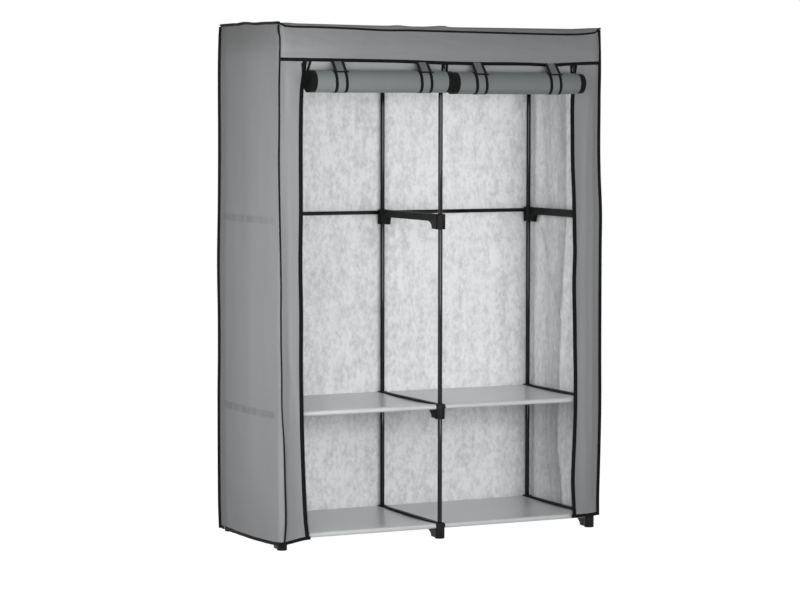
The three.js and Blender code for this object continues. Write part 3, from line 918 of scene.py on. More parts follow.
def relief(q, z):
    """How far the cloth stands out from the cover's outline, negative inwards."""
    front_end, a = girth_marks().front_end, abs(q)
    if a < front_end:
        return strip_relief(q, z) * smooth((front_end - a) / 0.02) + corner_bulge(q, z)
    return corner_bulge(q, z) + panel_relief(q, z)


STRIP_FOLDS = (
    (-0.560, 0.004, 0.007, 1.4 * MM, 0.6, 1.25),
    (-0.561, 0.010, 0.008, 2.4 * MM, 0.0, 0.72),
    (-0.542, -0.12, 0.009, 1.8 * MM, 0.42, 0.58),
    (0.520, 0.010, 0.012, 1.6 * MM, 0.3, 1.6),
    (0.553, -0.004, 0.008, 1.8 * MM, 0.0, 1.65),
    (0.535, 0.006, 0.009, -1.2 * MM, 0.2, 1.3),
)


def strip_relief(q, z):
    belly = 0.0
    if q < 0:
        belly = 3.0 * MM * hump(q, -0.545, 0.025)
        belly = belly * smooth(between(z, 1.35, 1.5)) * smooth(between(z, 1.57, 1.52))
    return belly + 0.9 * MM * waver(q * 26, z * 2.5) - folds_at(STRIP_FOLDS, q, z)


def panel_relief(q, z):
    """The sag and the folds of the sides and the back."""
    _, side_start, side_end, back_start, total, _ = girth_marks()
    a = abs(q)
    if side_start < a < side_end:
        t = between(a, side_start, side_end)
        hold = math.sin(math.pi * t)
        bow = (3.5 if q < 0 else -2.0) * MM * hold * (0.5 + level_share(z) / 2)
        if q > 0:
            swell = inner_ridge(q, z) * smooth(between(a, side_end, side_end - 0.02))
        else:
            swell = left_swell(a, z)
        ripple = 1.1 * MM * hold * waver(q * 14, z * 2.2, 3.0)
        return bow + swell + ripple - hold**0.5 * folds_at(SIDE_FOLDS, q, z) + hem_wave(q, z)
    if a > back_start:
        across = math.copysign(total - a, q)
        hold = math.sin(math.pi * clamp(abs(total - a) / (total - back_start) / 2 + 0.5))
        bay = abs(math.sin(math.pi * across / (total - back_start)))
        ripple = 1.6 * MM * waver(across * 16, z * 2.0, 7.0)
        folds = 1.6 * folds_at(BACK_FOLDS, across, z)
        return hold**0.5 * (-3.0 * MM * bay * level_share(z) + ripple - folds) + hem_wave(q, z)
    return 0.0


# (height, millimetres that the corner's cloth stands out)
BACK_CORNER_BULGE = (
    (0.02, 14), (0.10, 16.5), (0.45, 17), (0.60, 15), (0.75, 15), (0.85, 16.5), (0.94, 16.5), (1.1, 13.5),
    (1.3, 11.5), (1.55, 11.5), (1.66, 9), (1.70, 6.5),
)
RIGHT_CORNER_BULGE = (
    (0.03, 5), (0.12, 5.5), (0.25, 8), (0.42, 10), (0.60, 8.7), (0.95, 8), (1.08, 8.5), (1.2, 3.5),
    (1.3, 1.5), (1.45, 2.5), (1.6, 2.5), (1.70, 0),
)


def corner_bulge(q, z):
    """The cloth stands out at the back corners' seams, most right beside them."""
    marks = girth_marks()
    away = abs(abs(q) - marks.back_seam)
    near = 0.62 * math.exp(-away / 0.008) + 0.38 * math.exp(-((away / 0.021) ** 2))
    front = q - marks.side_start + 0.01
    if q > 0:
        loose = through(RIGHT_CORNER_BULGE, z) * math.exp(-((front / 0.045) ** 2))
        furrow = 4.0 * hump(q, 0.546, 0.024) - 5.0 * hump(q, 0.5765, 0.009)
        loose += furrow * smooth(between(z, 1.56, 1.46)) * smooth(between(z, 0.03, 0.12))
    else:
        loose = 4.0 * math.exp(-(((q - corner_seam(-1, z)) / 0.009) ** 2)) * smooth(between(z, 1.66, 1.5))
    return through(BACK_CORNER_BULGE, z) * MM * near + loose * MM


HEM_FLARE = 3.0 * MM


def hem_wave(q, z):
    """A soft flare of the free edge."""
    return HEM_FLARE * waver(q * 9, 0.4, 5.0) * smooth((0.16 - z) / 0.14)


# Edges of the cover, given along each edge. Places are metres, from the middle of the front or
# up from the floor. Rises and edges are millimetres, turns are degrees from the side's direction
HEM_RISE = (
    (-1.6, 16), (-1.09, 8), (-0.98, 10.5), (-0.91, 11), (-0.83, 12.7), (-0.75, 12), (-0.67, 13.7),
    (-0.62, 16), (-0.56, 21.5), (-0.50, 31.5), (-0.45, 31.5),
    (0.45, 39), (0.50, 39.5), (0.55, 41), (0.585, 42.5), (0.75, 32), (1.09, 22), (1.6, 16),
)
FRONT_SEAM_RISE = (
    (-0.58, -9.5), (-0.54, -12.5), (-0.46, -13), (-0.35, -15.5), (-0.22, -20), (-0.12, -19.5), (0.0, -21),
    (0.24, -24), (0.42, -26), (0.50, -25), (0.55, -21), (0.585, -15),
)
VALANCE_EDGE = (
    (-0.60, 1581), (-0.42, 1579.6), (-0.18, 1577.5), (0.04, 1572.3), (0.31, 1571.5), (0.40, 1569),
    (0.50, 1574.3), (0.60, 1577.5),
)
LEFT_CORNER_TURN = (
    (0.02, 79), (0.10, 91), (0.22, 85), (0.34, 79), (0.46, 64), (0.56, 63), (0.66, 59), (0.76, 58),
    (0.86, 59), (0.96, 56), (1.07, 51.5), (1.17, 48), (1.27, 46), (1.38, 49), (1.5, 49), (1.60, 52),
    (1.655, 52), (1.675, 40),
)
RIGHT_CORNER_TURN = ((0.02, 40), (0.45, 34), (1.2, 38), (1.65, 50))
LEFT_STRIP_EDGE = (
    (0.03, 483.5), (0.09, 491.5), (0.18, 498), (0.27, 502), (0.43, 506.5), (0.60, 508.8), (0.76, 508.2),
    (0.93, 510.5), (1.1, 508.5), (1.27, 509), (1.42, 508), (1.49, 506), (1.545, 501.5), (1.58, 499),
    (1.69, 492),
)
RIGHT_STRIP_EDGE = (
    (0.03, 495), (0.10, 491.5), (0.16, 489.5), (0.22, 491), (0.32, 495.5), (0.42, 498.5), (0.53, 498),
    (0.63, 495.5), (0.73, 493.5), (0.84, 490.5), (0.94, 493), (1.0, 491.5), (1.14, 487.5), (1.24, 482.5),
    (1.35, 480.5), (1.45, 480), (1.50, 484), (1.54, 490), (1.58, 495), (1.69, 496),
)
FRONT_TOP_RISE = (
    (-0.592, -5), (-0.58, 1.5), (-0.55, 2.5), (-0.53, 1), (-0.46, 0), (-0.34, -1.5), (-0.20, -2.5),
    (-0.16, -0.5), (-0.12, -3.5), (-0.03, -4), (0.23, -8), (0.495, -10), (0.55, -7), (0.59, -6),
)
LEFT_TOP_RISE = (
    (-0.21, -2.4), (-0.175, -4.8), (-0.125, -2.4), (-0.077, -3), (-0.03, -3.6), (0.02, -0.6),
    (0.08, 2.2), (0.125, 0.2), (0.165, 1.2), (0.25, 1.2), (0.283, 0),
)

# Height just above the hem where a strip starts, height where a corner's seam meets the valance
STRIP_FOOT = 0.03
CORNER_TOP = 1.65

# The top's cloth lies this far below the cover's highest plane, and over these tubes: (y, highest z)
TOP_SINK = 0.6 * MM
TOP_SAG = 5.5 * MM
TUBE_CLEARANCE = 0.9 * MM
TOP_TUBES = [
    (middle(name).y, high(name).z)
    for name in ("right_top_front_tube", "right_hanging_rail", "right_top_back_tube")
]


def hem_height(q):
    return through(HEM_RISE, q) * MM


def top_height(x, y):
    """Height of the cover's top: it lies on the bars, sags in the bays and folds over the front."""
    reach = settings("wardrobe_cover").top_round
    bay = abs(math.sin(math.pi * x / POLE_X))
    depth = math.sin(math.pi * clamp(between(y, FRONT_Y, BACK_Y)))
    body = COVER_TOP - TOP_SINK - TOP_SAG * bay * depth + 1.4 * MM * waver(x * 9, y * 9) * depth
    body += 3.0 * MM * hump(x, -HALF_WIDTH, 0.05) * hump(y, MIDDLE_Y - 0.05, 0.16)
    body += through(LEFT_TOP_RISE, y) * MM * hump(x, -HALF_WIDTH, 0.05)
    body += 1.3 * MM * waver(x * 7 + 3, 0.5) * smooth(between(abs(x), HALF_WIDTH, HALF_WIDTH - 0.08))
    body -= 8.0 * MM * smooth(between(x, 0.572, 0.588)) + 6.0 * MM * hump(x, 0.50, 0.06)
    front = COVER_TOP + through(FRONT_TOP_RISE, x) * MM
    body += (front - body) * smooth(between(y, FRONT_Y + 0.11, FRONT_Y + 0.02))
    inside = smooth(between(HALF_WIDTH - abs(x), 0, 0.02))
    for tube_y, tube_top in TOP_TUBES:
        body += max(0.0, tube_top + TUBE_CLEARANCE - body) * hump(y, tube_y, 0.017) * inside
    on_bar = smooth(between(min(abs(x), abs(abs(x) - POLE_X)), 0.026, 0.012))
    body += max(0.0, COVER_TOP - TOP_SINK - body) * on_bar
    seam = COVER_TOP + through(FRONT_SEAM_RISE, x) * MM
    away = clamp((y - FRONT_Y) / reach)
    return seam + (body - seam) * math.sqrt(1 - (1 - away) ** 2)


def top_edge(q):
    place, _ = girth(q)
    return top_height(place.x, place.y)


def corner_seam(hand, z):
    """q of the seam at a front corner, which drifts round the corner with height."""
    front_end = girth_marks().front_end
    turn = through(LEFT_CORNER_TURN if hand < 0 else RIGHT_CORNER_TURN, z)
    return hand * (front_end + settings("wardrobe_cover").front_round * math.radians(90 - turn))


def strip_edge(hand, z):
    return hand * through(LEFT_STRIP_EDGE if hand < 0 else RIGHT_STRIP_EDGE, z) * MM


def cover_point(q, z, out=0.0):
    place, normal = girth(q)
    point = place + normal * (relief(q, z) + out)
    point.z = z
    return point


def cover_normal(q):
    return girth(q)[1]


# Cover pieces

SIDE_COLUMNS = 64
STRIP_COLUMNS = 12
CORNER_COLUMNS = 8
BACK_COLUMNS = 128
HEIGHT_ROWS = 150


def side_columns(hand):
    """q of the columns from the back seam over the side and the corner, and q where the strip starts."""
    marks = girth_marks()
    start, back_seam = marks.side_start, marks.back_seam
    columns = [back_seam + (start - back_seam) * (i / SIDE_COLUMNS) ** 1.35 for i in range(SIDE_COLUMNS)]
    columns += [start + (marks.front_end - start) * i / CORNER_COLUMNS for i in range(CORNER_COLUMNS)]
    return [hand * c for c in columns], hand * marks.front_end


def side_sheet(hand):
    columns, front_end = side_columns(hand)
    points, uv = [], []
    for r in range(HEIGHT_ROWS + 1):
        v = r / HEIGHT_ROWS
        edge = strip_edge(hand, HEM_Z + (COVER_TOP - HEM_Z) * v)
        qs = columns + evenly(front_end, edge, STRIP_COLUMNS)
        places = [(q, hem_height(q) + (top_edge(q) - hem_height(q)) * v) for q in qs]
        if hand > 0:
            places.reverse()
        points.append([cover_point(q, z) for q, z in places])
        uv.append(places)
    side = HANDS[hand]
    obj = cover_sheet(f"{side}_side_panel", points, uv, "grey_cloth_on_bars", "side_lining")
    light_inner_face(obj)
    return dress(obj, "wardrobe", "cover_cloth", f"{side}_cover_side")


def cover_sheet(name, points, uv, outside="grey_cloth", inside="inner_cloth"):
    thickness = settings("wardrobe_cover").thickness
    return sheet_object(name, points, uv, materials_named(outside, inside), thickness, inner_shift=1)


def dress(obj, body, slot, *nodes):
    """Puts a finished piece on its body and hides the nodes that it stands for. Its slot is not used."""
    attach(obj, body)
    if nodes:
        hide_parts(*nodes)
    return obj


def back_sheet():
    marks = girth_marks()
    points, uv = [], []
    for r in range(HEIGHT_ROWS + 1):
        row, row_uv = [], []
        for c in range(BACK_COLUMNS + 1):
            across = (marks.total - marks.back_seam) * (1 - 2 * c / BACK_COLUMNS)
            q = math.copysign(marks.total - abs(across), across)
            z = hem_height(q) + (top_edge(q) - hem_height(q)) * r / HEIGHT_ROWS
            row.append(cover_point(q, z))
            row_uv.append((across, z))
        points.append(row)
        uv.append(row_uv)
    obj = cover_sheet("cover_back_panel", points, uv)
    return dress(obj, "wardrobe", "cover_cloth", WRAP)


def top_sheet():
    """The top: a sheet with rounded corners whose front folds down to the seam."""
    cover = settings("wardrobe_cover")
    columns, rows = 110, 44
    fold_rows = 8
    depth = BACK_Y - FRONT_Y
    reaches = [cover.top_round * (1 - math.cos(math.pi / 2 * i / fold_rows)) for i in range(fold_rows)]
    reaches += evenly(cover.top_round, depth, rows)

    def half_width(reach):
        inset = 0.0
        for edge, radius in ((reach, cover.front_round), (depth - reach, cover.back_round)):
            if edge < radius:
                inset = radius - math.sqrt(radius**2 - (radius - edge) ** 2)
        return HALF_WIDTH - inset

    points, uv = [], []
    for reach in reaches:
        y = FRONT_Y + reach
        wide = half_width(reach)
        xs = [wide * (2 * c / columns - 1) for c in range(columns + 1)]
        points.append([Vector((x, y, top_height(x, y))) for x in xs])
        uv.append([(x, y) for x in xs])
    obj = cover_sheet("cover_top_panel", points, uv)
    return dress(obj, "wardrobe", "cover_cloth")


VALANCE_STANDOFF = 1.8 * MM
VALANCE_SWELL = 7.5 * MM


def valance_line(q, v):
    """A point of the valance, v from its lower edge to the seam."""
    bottom = through(VALANCE_EDGE, q) * MM
    top = top_edge(q)
    z = bottom + (top - bottom) * v
    stand = VALANCE_STANDOFF * smooth((1 - v) / 0.25)
    swell = VALANCE_SWELL * math.sin(math.pi * v**0.8) ** 2 + 2.6 * MM * (1 - v) ** 2 * waver(q * 7, 1.5, 2.0)
    ripple = 1.7 * MM * hump(v, 0.17, 0.05) * (0.5 + 1.4 * waver(q * 31, 4.0))
    swell += ripple - 1.4 * MM * hump(v, 0.26, 0.06)
    swell += 1.2 * MM * waver(q * 12 + v * 5, v * 3, 6.0)
    place, normal = girth(q)
    point = place + normal * (stand + swell * smooth((0.60 - abs(q)) / 0.05) + max(0.0, corner_bulge(q, z)))
    point.z = z
    return point


def valance_ends():
    return corner_seam(-1, CORNER_TOP), corner_seam(1, CORNER_TOP)


def valance_sheet():
    columns, rows = 150, 30
    qs = evenly(*valance_ends(), columns)
    points = [[valance_line(q, r / rows) for q in qs] for r in range(rows + 1)]
    uv = [[(q, 1.58 + 0.11 * r / rows) for q in qs] for r in range(rows + 1)]
    obj = cover_sheet("cover_valance", points, uv)
    return dress(obj, "wardrobe", "cover_cloth")


# Bindings: each path is a list of points with the direction of the band's width

PATH_STEP = 5 * MM


def steps_between(start, end, step=PATH_STEP):
    return evenly(start, end, max(2, round(abs(end - start) / step)))


def path_of(places, point_at, across_at):
    """A path through these places: its points and the direction of the band's width at each."""
    return [point_at(p) for p in places], [across_at(p) for p in places]


def upright_seam(q_at, top):
    """A bound seam that stands out along the cover's normal, from hem to top."""
    heights = steps_between(hem_height(q_at(STRIP_FOOT)), top)
    return path_of(heights, lambda z: cover_point(q_at(z), z), lambda z: cover_normal(q_at(z)))


def seam_paths():
    """Every seam whose flange stands out: back corners, front corners and round the top."""
    cover, marks = settings("wardrobe_cover"), girth_marks()

    def on_top(q):
        return cover_point(q, top_edge(q))

    def leaning(lift):
        return lambda q: cover_normal(q) + Vector((0, 0, lift))

    paths = []
    for hand in HANDS:
        back_q, front_q = hand * marks.back_seam, corner_seam(hand, CORNER_TOP)
        paths.append(upright_seam(lambda z: back_q, top_edge(back_q)))
        paths.append(upright_seam(lambda z: corner_seam(hand, z), top_edge(front_q) - 2 * MM))
        side_qs = [hand * a for a in steps_between(abs(front_q), marks.back_seam)]
        paths.append(path_of(side_qs, on_top, leaning(1 if hand < 0 else 0.15)))
    front_qs = steps_between(*valance_ends())
    paths.append(path_of(front_qs, lambda q: valance_line(q, 1.0), leaning(0.35)))
    half_back = marks.total - marks.back_seam
    back_qs = [math.copysign(marks.total - abs(d), d) for d in steps_between(-half_back, half_back)]
    paths.append(path_of(back_qs, on_top, lambda q: Vector((0, 0.7, 1))))
    for points, across in paths:
        for i, direction in enumerate(across):
            direction.normalize()
            points[i] = points[i] + direction * (cover.flange / 2 - cover.thickness)
    return paths


def hem_paths():
    """Binding folded over the lower edges: the hems and the valance's edge."""
    cover = settings("wardrobe_cover")
    centre = cover.hem_band / 2 - 1 * MM

    def hem_point(q):
        return cover_point(q, hem_height(q) + centre, -cover.thickness / 2)

    def slope(q):
        return (valance_line(q, 0.09) - valance_line(q, 0.0)).normalized()

    def valance_point(q):
        return valance_line(q, 0.0) + slope(q) * centre - cover_normal(q) * cover.thickness / 2

    paths = [path_of(hem_places(hand, 3 * MM), hem_point, lambda q: Vector((0, 0, 1))) for hand in HANDS]
    paths.append(path_of(steps_between(*valance_ends()), valance_point, slope))
    return paths


def hem_places(hand, before=0.0):
    """Places along one half of the hem, from the strip's edge to the middle of the back."""
    start = abs(strip_edge(hand, STRIP_FOOT)) - before
    return [hand * a for a in steps_between(start, girth_marks().total)]


def strip_heights(hand, above_hem, below_top):
    """Heights along a strip's edge."""
    return steps_between(hem_height(strip_edge(hand, STRIP_FOOT)) + above_hem, COVER_TOP - below_top)


def tape_width(z):
    """Width of a strip's tape: it turns away behind the valance and spreads at the hem."""
    narrow = 1 - 0.62 * smooth(between(z, 1.47, 1.55))
    return settings("wardrobe_cover").zip_tape * narrow * (1 + 0.3 * smooth((0.25 - z) / 0.25))


def zip_tape_paths():
    """The tape along the free edge of each front strip, behind the valance at its top."""
    cover = settings("wardrobe_cover")
    paths = []
    for hand in HANDS:
        def tape_point(z):
            q = strip_edge(hand, z) + hand * (tape_width(z) / 2 - 2 * MM)
            return cover_point(q, z, -cover.thickness / 2)

        heights = strip_heights(hand, -1 * MM, 30 * MM)
        paths.append(path_of(heights, tape_point, lambda z: Vector((tape_width(z) / cover.zip_tape, 0, 0))))
    return paths


def bands(name, paths, width, thickness):
    made = []
    for i, (points, across) in enumerate(paths):
        made.append(ribbon(f"{name}_{i}", points, across, width, thickness, material_named("black_tape")))
    return dress(join(name, made), "wardrobe", "cover_cloth")


# Repeats along a path, made with geometry nodes


def new_group(name, inputs, output):
    """A geometry node group with its end nodes. inputs are (name, kind) and output is a name."""
    tree = bpy.data.node_groups.new(name, "GeometryNodeTree")
    for label, kind in inputs:
        tree.interface.new_socket(label, in_out="INPUT", socket_type=f"NodeSocket{kind}")
    tree.interface.new_socket(output, in_out="OUTPUT", socket_type="NodeSocketGeometry")
    return tree, tree.nodes.new("NodeGroupInput"), tree.nodes.new("NodeGroupOutput")


def wire(tree, *rows):
    """Links by rows of (from node, its output, to node, its input)."""
    for source, output, target, entry in rows:
        tree.links.new(source.outputs[output], target.inputs[entry])


def beads_tree():
    """Small rounded beads set evenly along every path: stitches, or the teeth of a zip."""
    name = "beads_along_paths"
    if name in bpy.data.node_groups:
        return bpy.data.node_groups[name]
    inputs = [("Paths", "Geometry"), ("Pitch", "Float"), ("Length", "Float"), ("Thickness", "Float")]
    tree, given, result = new_group(name, inputs + [("Material", "Material")], "Beads")
    curve = add_node(tree, "GeometryNodeMeshToCurve")
    spots = add_node(tree, "GeometryNodeCurveToPoints", mode="LENGTH")
    bead = add_node(tree, "GeometryNodeMeshIcoSphere", {"Radius": 0.5})
    size = add_node(tree, "ShaderNodeCombineXYZ")
    place = add_node(tree, "GeometryNodeInstanceOnPoints")
    real = add_node(tree, "GeometryNodeRealizeInstances")
    paint = add_node(tree, "GeometryNodeSetMaterial")
    wire(
        tree,
        (given, "Paths", curve, "Mesh"),
        (curve, "Curve", spots, "Curve"),
        (given, "Pitch", spots, "Length"),
        (given, "Thickness", size, "X"),
        (given, "Thickness", size, "Y"),
        (given, "Length", size, "Z"),
        (spots, "Points", place, "Points"),
        (spots, "Rotation", place, "Rotation"),
        (bead, "Mesh", place, "Instance"),
        (size, "Vector", place, "Scale"),
        (place, "Instances", real, "Geometry"),
        (real, "Geometry", paint, "Geometry"),
        (given, "Material", paint, "Material"),
        (paint, "Geometry", result, "Beads"),
    )
    return tree


def apply_tree(obj, tree, values):
    """Runs a node group on an object with these inputs and keeps the mesh that it makes."""
    step = obj.modifiers.new(tree.name, "NODES")
    step.node_group = tree
    for socket in tree.interface.items_tree:
        if socket.in_out == "INPUT" and socket.name in values:
            step[socket.identifier] = values[socket.name]
    bake(obj)


def beads(name, paths, pitch, length, thickness, material):
    """Beads along polylines, as one plain mesh object."""
    vertices, edges = [], []
    for path in paths:
        start = len(vertices)
        vertices += [tuple(p) for p in path]
        edges += [(start + i, start + i + 1) for i in range(len(path) - 1)]
    mesh = bpy.data.meshes.new(name)
    mesh.from_pydata(vertices, edges, [])
    obj = add_object(name, mesh, [])
    values = {"Pitch": pitch, "Length": length, "Thickness": thickness, "Material": material_named(material)}
    apply_tree(obj, beads_tree(), values)
    if not obj.data.uv_layers:
        obj.data.uv_layers.new(name="UVMap")
    obj.data.shade_smooth()
    return obj


STITCH_SHARE = 0.72
TOOTH_SHARE = 0.62
STITCH_INSET = 2.4 * MM


def stitches(name, paths, thickness=None, material="black_tape"):
    """Lines of stitches, in the cover's thread where no other is given."""
    cover = settings("wardrobe_cover")
    pitch = cover.stitch_pitch
    return beads(name, paths, pitch, STITCH_SHARE * pitch, thickness or cover.stitch_thickness, material)


def cover_stitches():
    """Stitch lines beside the zip tapes, above the hems and on the standing seams."""
    cover = settings("wardrobe_cover")
    tape = cover.tape_thickness
    lines = []
    for hand in HANDS:
        heights = strip_heights(hand, 3 * MM, 32 * MM)
        outer = [(strip_edge(hand, z) + hand * (tape_width(z) - 4.2 * MM), z) for z in heights]
        inner = [(strip_edge(hand, z) + hand * 2.6 * MM, z) for z in heights]
        lines += [[cover_point(q, z, 0.55 * tape) for q, z in line] for line in (outer, inner)]
        above_hem = [(q, hem_height(q) + cover.hem_band - STITCH_INSET) for q in hem_places(hand)]
        lines.append([cover_point(q, z, 0.45 * tape) for q, z in above_hem])
    line = []
    for q in steps_between(*valance_ends()):
        point = valance_line(q, 0.0) + cover_normal(q) * 0.45 * tape
        point.z += cover.hem_band - STITCH_INSET
        line.append(point)
    lines.append(line)
    for points, across in seam_paths():
        pairs = enumerate(zip(points, across))
        lines.append([p - a * 1.2 * MM + side_of(points, a, i) for i, (p, a) in pairs])
    return dress(stitches("cover_stitches", lines), "wardrobe", "cover_cloth")


def side_of(points, across, i):
    """Half a flange's thickness to the side of a standing seam."""
    along = points[min(i + 1, len(points) - 1)] - points[max(i - 1, 0)]
    return along.cross(across).normalized() * settings("wardrobe_cover").flange_thickness * 0.42


def zip_teeth():
    pitch = settings("wardrobe_cover").tooth_pitch
    lines = []
    for hand in HANDS:
        heights = strip_heights(hand, 4 * MM, 40 * MM)
        lines.append([cover_point(strip_edge(hand, z) - hand * 2.2 * MM, z, -0.2 * MM) for z in heights])
    made = beads("strip_zip_teeth", lines, pitch, TOOTH_SHARE * pitch, 2.3 * MM, "black_tape")
    return dress(made, "wardrobe", "cover_cloth")


# Frame


def pole(side, row, stage):
    node = f"{side}_{row}_{stage}_upright"
    bottom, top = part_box(node)
    values = settings("wardrobe_frame")
    profile = tube_profile(POLE_RADIUS, values.tube_wall, top.z - bottom.z, values.rim_round)
    solid = lathe(profile, 40)
    centre = (bottom + top) / 2
    bmesh.ops.translate(solid, verts=solid.verts, vec=(centre.x, centre.y, bottom.z))
    obj = to_object(f"{side}_{row}_{stage}_pole", solid, [material_named("black_steel")], 35)
    return dress(obj, "wardrobe", "frame_steel", node)


def cross_tube(node, name):
    start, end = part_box(node)
    values = settings("wardrobe_frame")
    solid = lathe(tube_profile(TUBE_RADIUS, values.tube_wall, end.x - start.x, values.rim_round), 36, "X")
    centre = (start + end) / 2
    bmesh.ops.translate(solid, verts=solid.verts, vec=(start.x, centre.y, centre.z))
    return dress(to_object(name, solid, [material_named("black_steel")], 35), "wardrobe", "frame_steel", node)


GUSSET_STEPS = 12


def bar_outline(height, front_run, back_run):
    """Side view of a bar as (y, z) points, top at zero, with hollow gussets at both sockets."""
    values = settings("wardrobe_frame")
    drop = height - values.bar_height
    front, back = POLE_Y["front"], POLE_Y["back"]

    def gusset(start, run):
        for i in range(GUSSET_STEPS + 1):
            turn = math.pi / 2 * i / GUSSET_STEPS
            yield start + run * (1 - math.cos(turn)), -height + drop * math.sin(turn)

    points = [(front, 0), (front, -height), *gusset(front + values.gusset_start, front_run)]
    points += reversed(list(gusset(back - values.gusset_start, -back_run)))
    return points + [(back, -height), (back, 0)]


def drawn_out(solid, corners, shift):
    """Draws a flat face out by a shift and gives the corners of both its ends."""
    verts = [solid.verts.new(corner) for corner in corners]
    drawn = bmesh.ops.extrude_face_region(solid, geom=[solid.faces.new(verts)])
    moved = [g for g in drawn["geom"] if isinstance(g, bmesh.types.BMVert)]
    bmesh.ops.translate(solid, verts=moved, vec=shift)
    return set(verts + moved)


def web_object(name, x, top, outline):
    """The flat part of a bar: its outline drawn out sideways, with rounded edges."""
    values = settings("wardrobe_frame")
    solid = bmesh.new()
    half = values.bar_thickness / 2
    drawn_out(solid, [(x - half, y, top + z) for y, z in outline], (2 * half, 0, 0))
    bmesh.ops.recalc_face_normals(solid, faces=solid.faces)
    rims = [e for e in solid.edges if abs(e.verts[0].co.x - e.verts[1].co.x) < half]
    bmesh.ops.bevel(solid, geom=rims, offset=values.bar_round, segments=3, profile=0.5, affect="EDGES")
    return to_object(name, solid, [material_named("black_plastic")])


def rounded_plug(radius, bottom, top, rim, sides=48):
    """A solid turned block with rounded rims, as a closed bmesh."""
    axis, turns = 0.02 * MM, (0, *RIM_TURNS)
    profile = [(axis, bottom), *lower_rim(radius, bottom, rim, turns), *upper_rim(radius, top, rim, turns)]
    return lathe(profile + [(axis, top)], sides)


def plug_object(name, place, radius, bottom, top, rim, sides=48, flat=None):
    solid = rounded_plug(radius, bottom, top, rim, sides)
    if flat:
        bmesh.ops.rotate(solid, verts=solid.verts, matrix=Matrix.Rotation(flat * math.pi / 2, 3, "Y"))
    bmesh.ops.translate(solid, verts=solid.verts, vec=place)
    return to_object(name, solid, [material_named("black_plastic")])


COLUMN_X = {"left": -POLE_X, "centre": 0.0, "right": POLE_X}
BORE_CLEARANCE = 0.4 * MM
TOP_SOCKET_RIM = 5.0 * MM
SOCKET_RIM = 1.2 * MM


def side_bar(side, level):
    """One moulded bar with its two sockets, joined in one piece, and its pegs."""
    values = settings("wardrobe_frame")
    node = f"{side}_{level}_bar"
    bottom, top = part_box(node)
    x = COLUMN_X[side]
    height = top.z - bottom.z
    foot = level == "foot"
    runs = (values.foot_gusset,) * 2 if foot else (values.front_gusset, values.back_gusset)
    bar = web_object(f"{side}_{level}_side_bar", x, top.z, bar_outline(height, *runs))
    rim = TOP_SOCKET_RIM if level == "top" else SOCKET_RIM
    for row in ROWS:
        place = (x, POLE_Y[row], 0)
        boolean(bar, plug_object("socket", place, SOCKET_RADIUS, bottom.z, top.z, rim), "UNION")
    pegs = [(POLE_Y[row], values.peg_drop) for row in ROWS if f"left_{level}_{row}_tube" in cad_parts]
    if level == "top":
        pegs.append((MIDDLE_Y, values.bar_height / 2))
    for way in (-1, 1):
        if way * x / POLE_X > 0.5:
            continue
        reach = (top.x - x) if way > 0 else (x - bottom.x)
        for y, drop in pegs:
            place = (x, y, top.z - drop)
            peg = plug_object("peg", place, values.peg_radius, 4 * MM, reach, 0.8 * MM, 24, way)
            boolean(bar, peg, "UNION")
    bore, past = POLE_RADIUS + BORE_CLEARANCE, 5 * MM
    spans = []
    if level != "top":
        spans.append((top.z - values.socket_depth, top.z + past))
    if not foot:
        spans.append((bottom.z - past, bottom.z + values.socket_depth))
    for row in ROWS:
        for start, end in spans:
            tool = plug_object("bore", (x, POLE_Y[row], 0), bore, start, end, 0.3 * MM)
            boolean(bar, tool, "DIFFERENCE")
    finish_mesh(bar.data, 38)
    return dress(bar, "wardrobe", "frame_plastic", node)


# Shelves


SLEEVE_CLEARANCE = 0.7 * MM


def shelf_top(bay, level):
    """Height of a shelf's upper face where it lies on its front tube."""
    tube_z = middle(f"{bay}_{level}_front_tube").z
    return tube_z + (TUBE_RADIUS + SLEEVE_CLEARANCE + settings("wardrobe_shelves").thickness)


def shelf_sag(y):
    """How far a shelf sags at y."""
    return settings("wardrobe_shelves").sag * (1 - ((y - MIDDLE_Y) / (POLE_Y["back"] - MIDDLE_Y)) ** 2)


def shelf_section(tube_z):
    """A shelf's line from its back seam over the back tube, across and round the front tube, as
    (y, z) points."""
    values = settings("wardrobe_shelves")
    radius = TUBE_RADIUS + SLEEVE_CLEARANCE + values.thickness
    front, back = POLE_Y["front"], POLE_Y["back"]
    top = tube_z + radius
    under_skin = top - 2.4 * values.thickness
    seam_z, lip_z = under_skin - values.sag * 0.25, under_skin - 2.2 * MM
    arc_steps, span = 10, 26

    def sleeve(y, first_degrees):
        turns = [math.radians(first_degrees + 200 * i / arc_steps) for i in range(arc_steps + 1)]
        return [(y + radius * math.cos(turn), tube_z + radius * math.sin(turn)) for turn in turns]

    seam_back, seam_front = back - values.seam_run, front + values.seam_run
    points = [(seam_back, seam_z), (seam_back + 4 * MM, lip_z), *sleeve(back, -110)]
    for i in range(1, span):
        y = back + (front - back) * i / span
        points.append((y, top - shelf_sag(y)))
    return points + [*sleeve(front, 90), (seam_front - 4 * MM, lip_z), (seam_front, seam_z)]


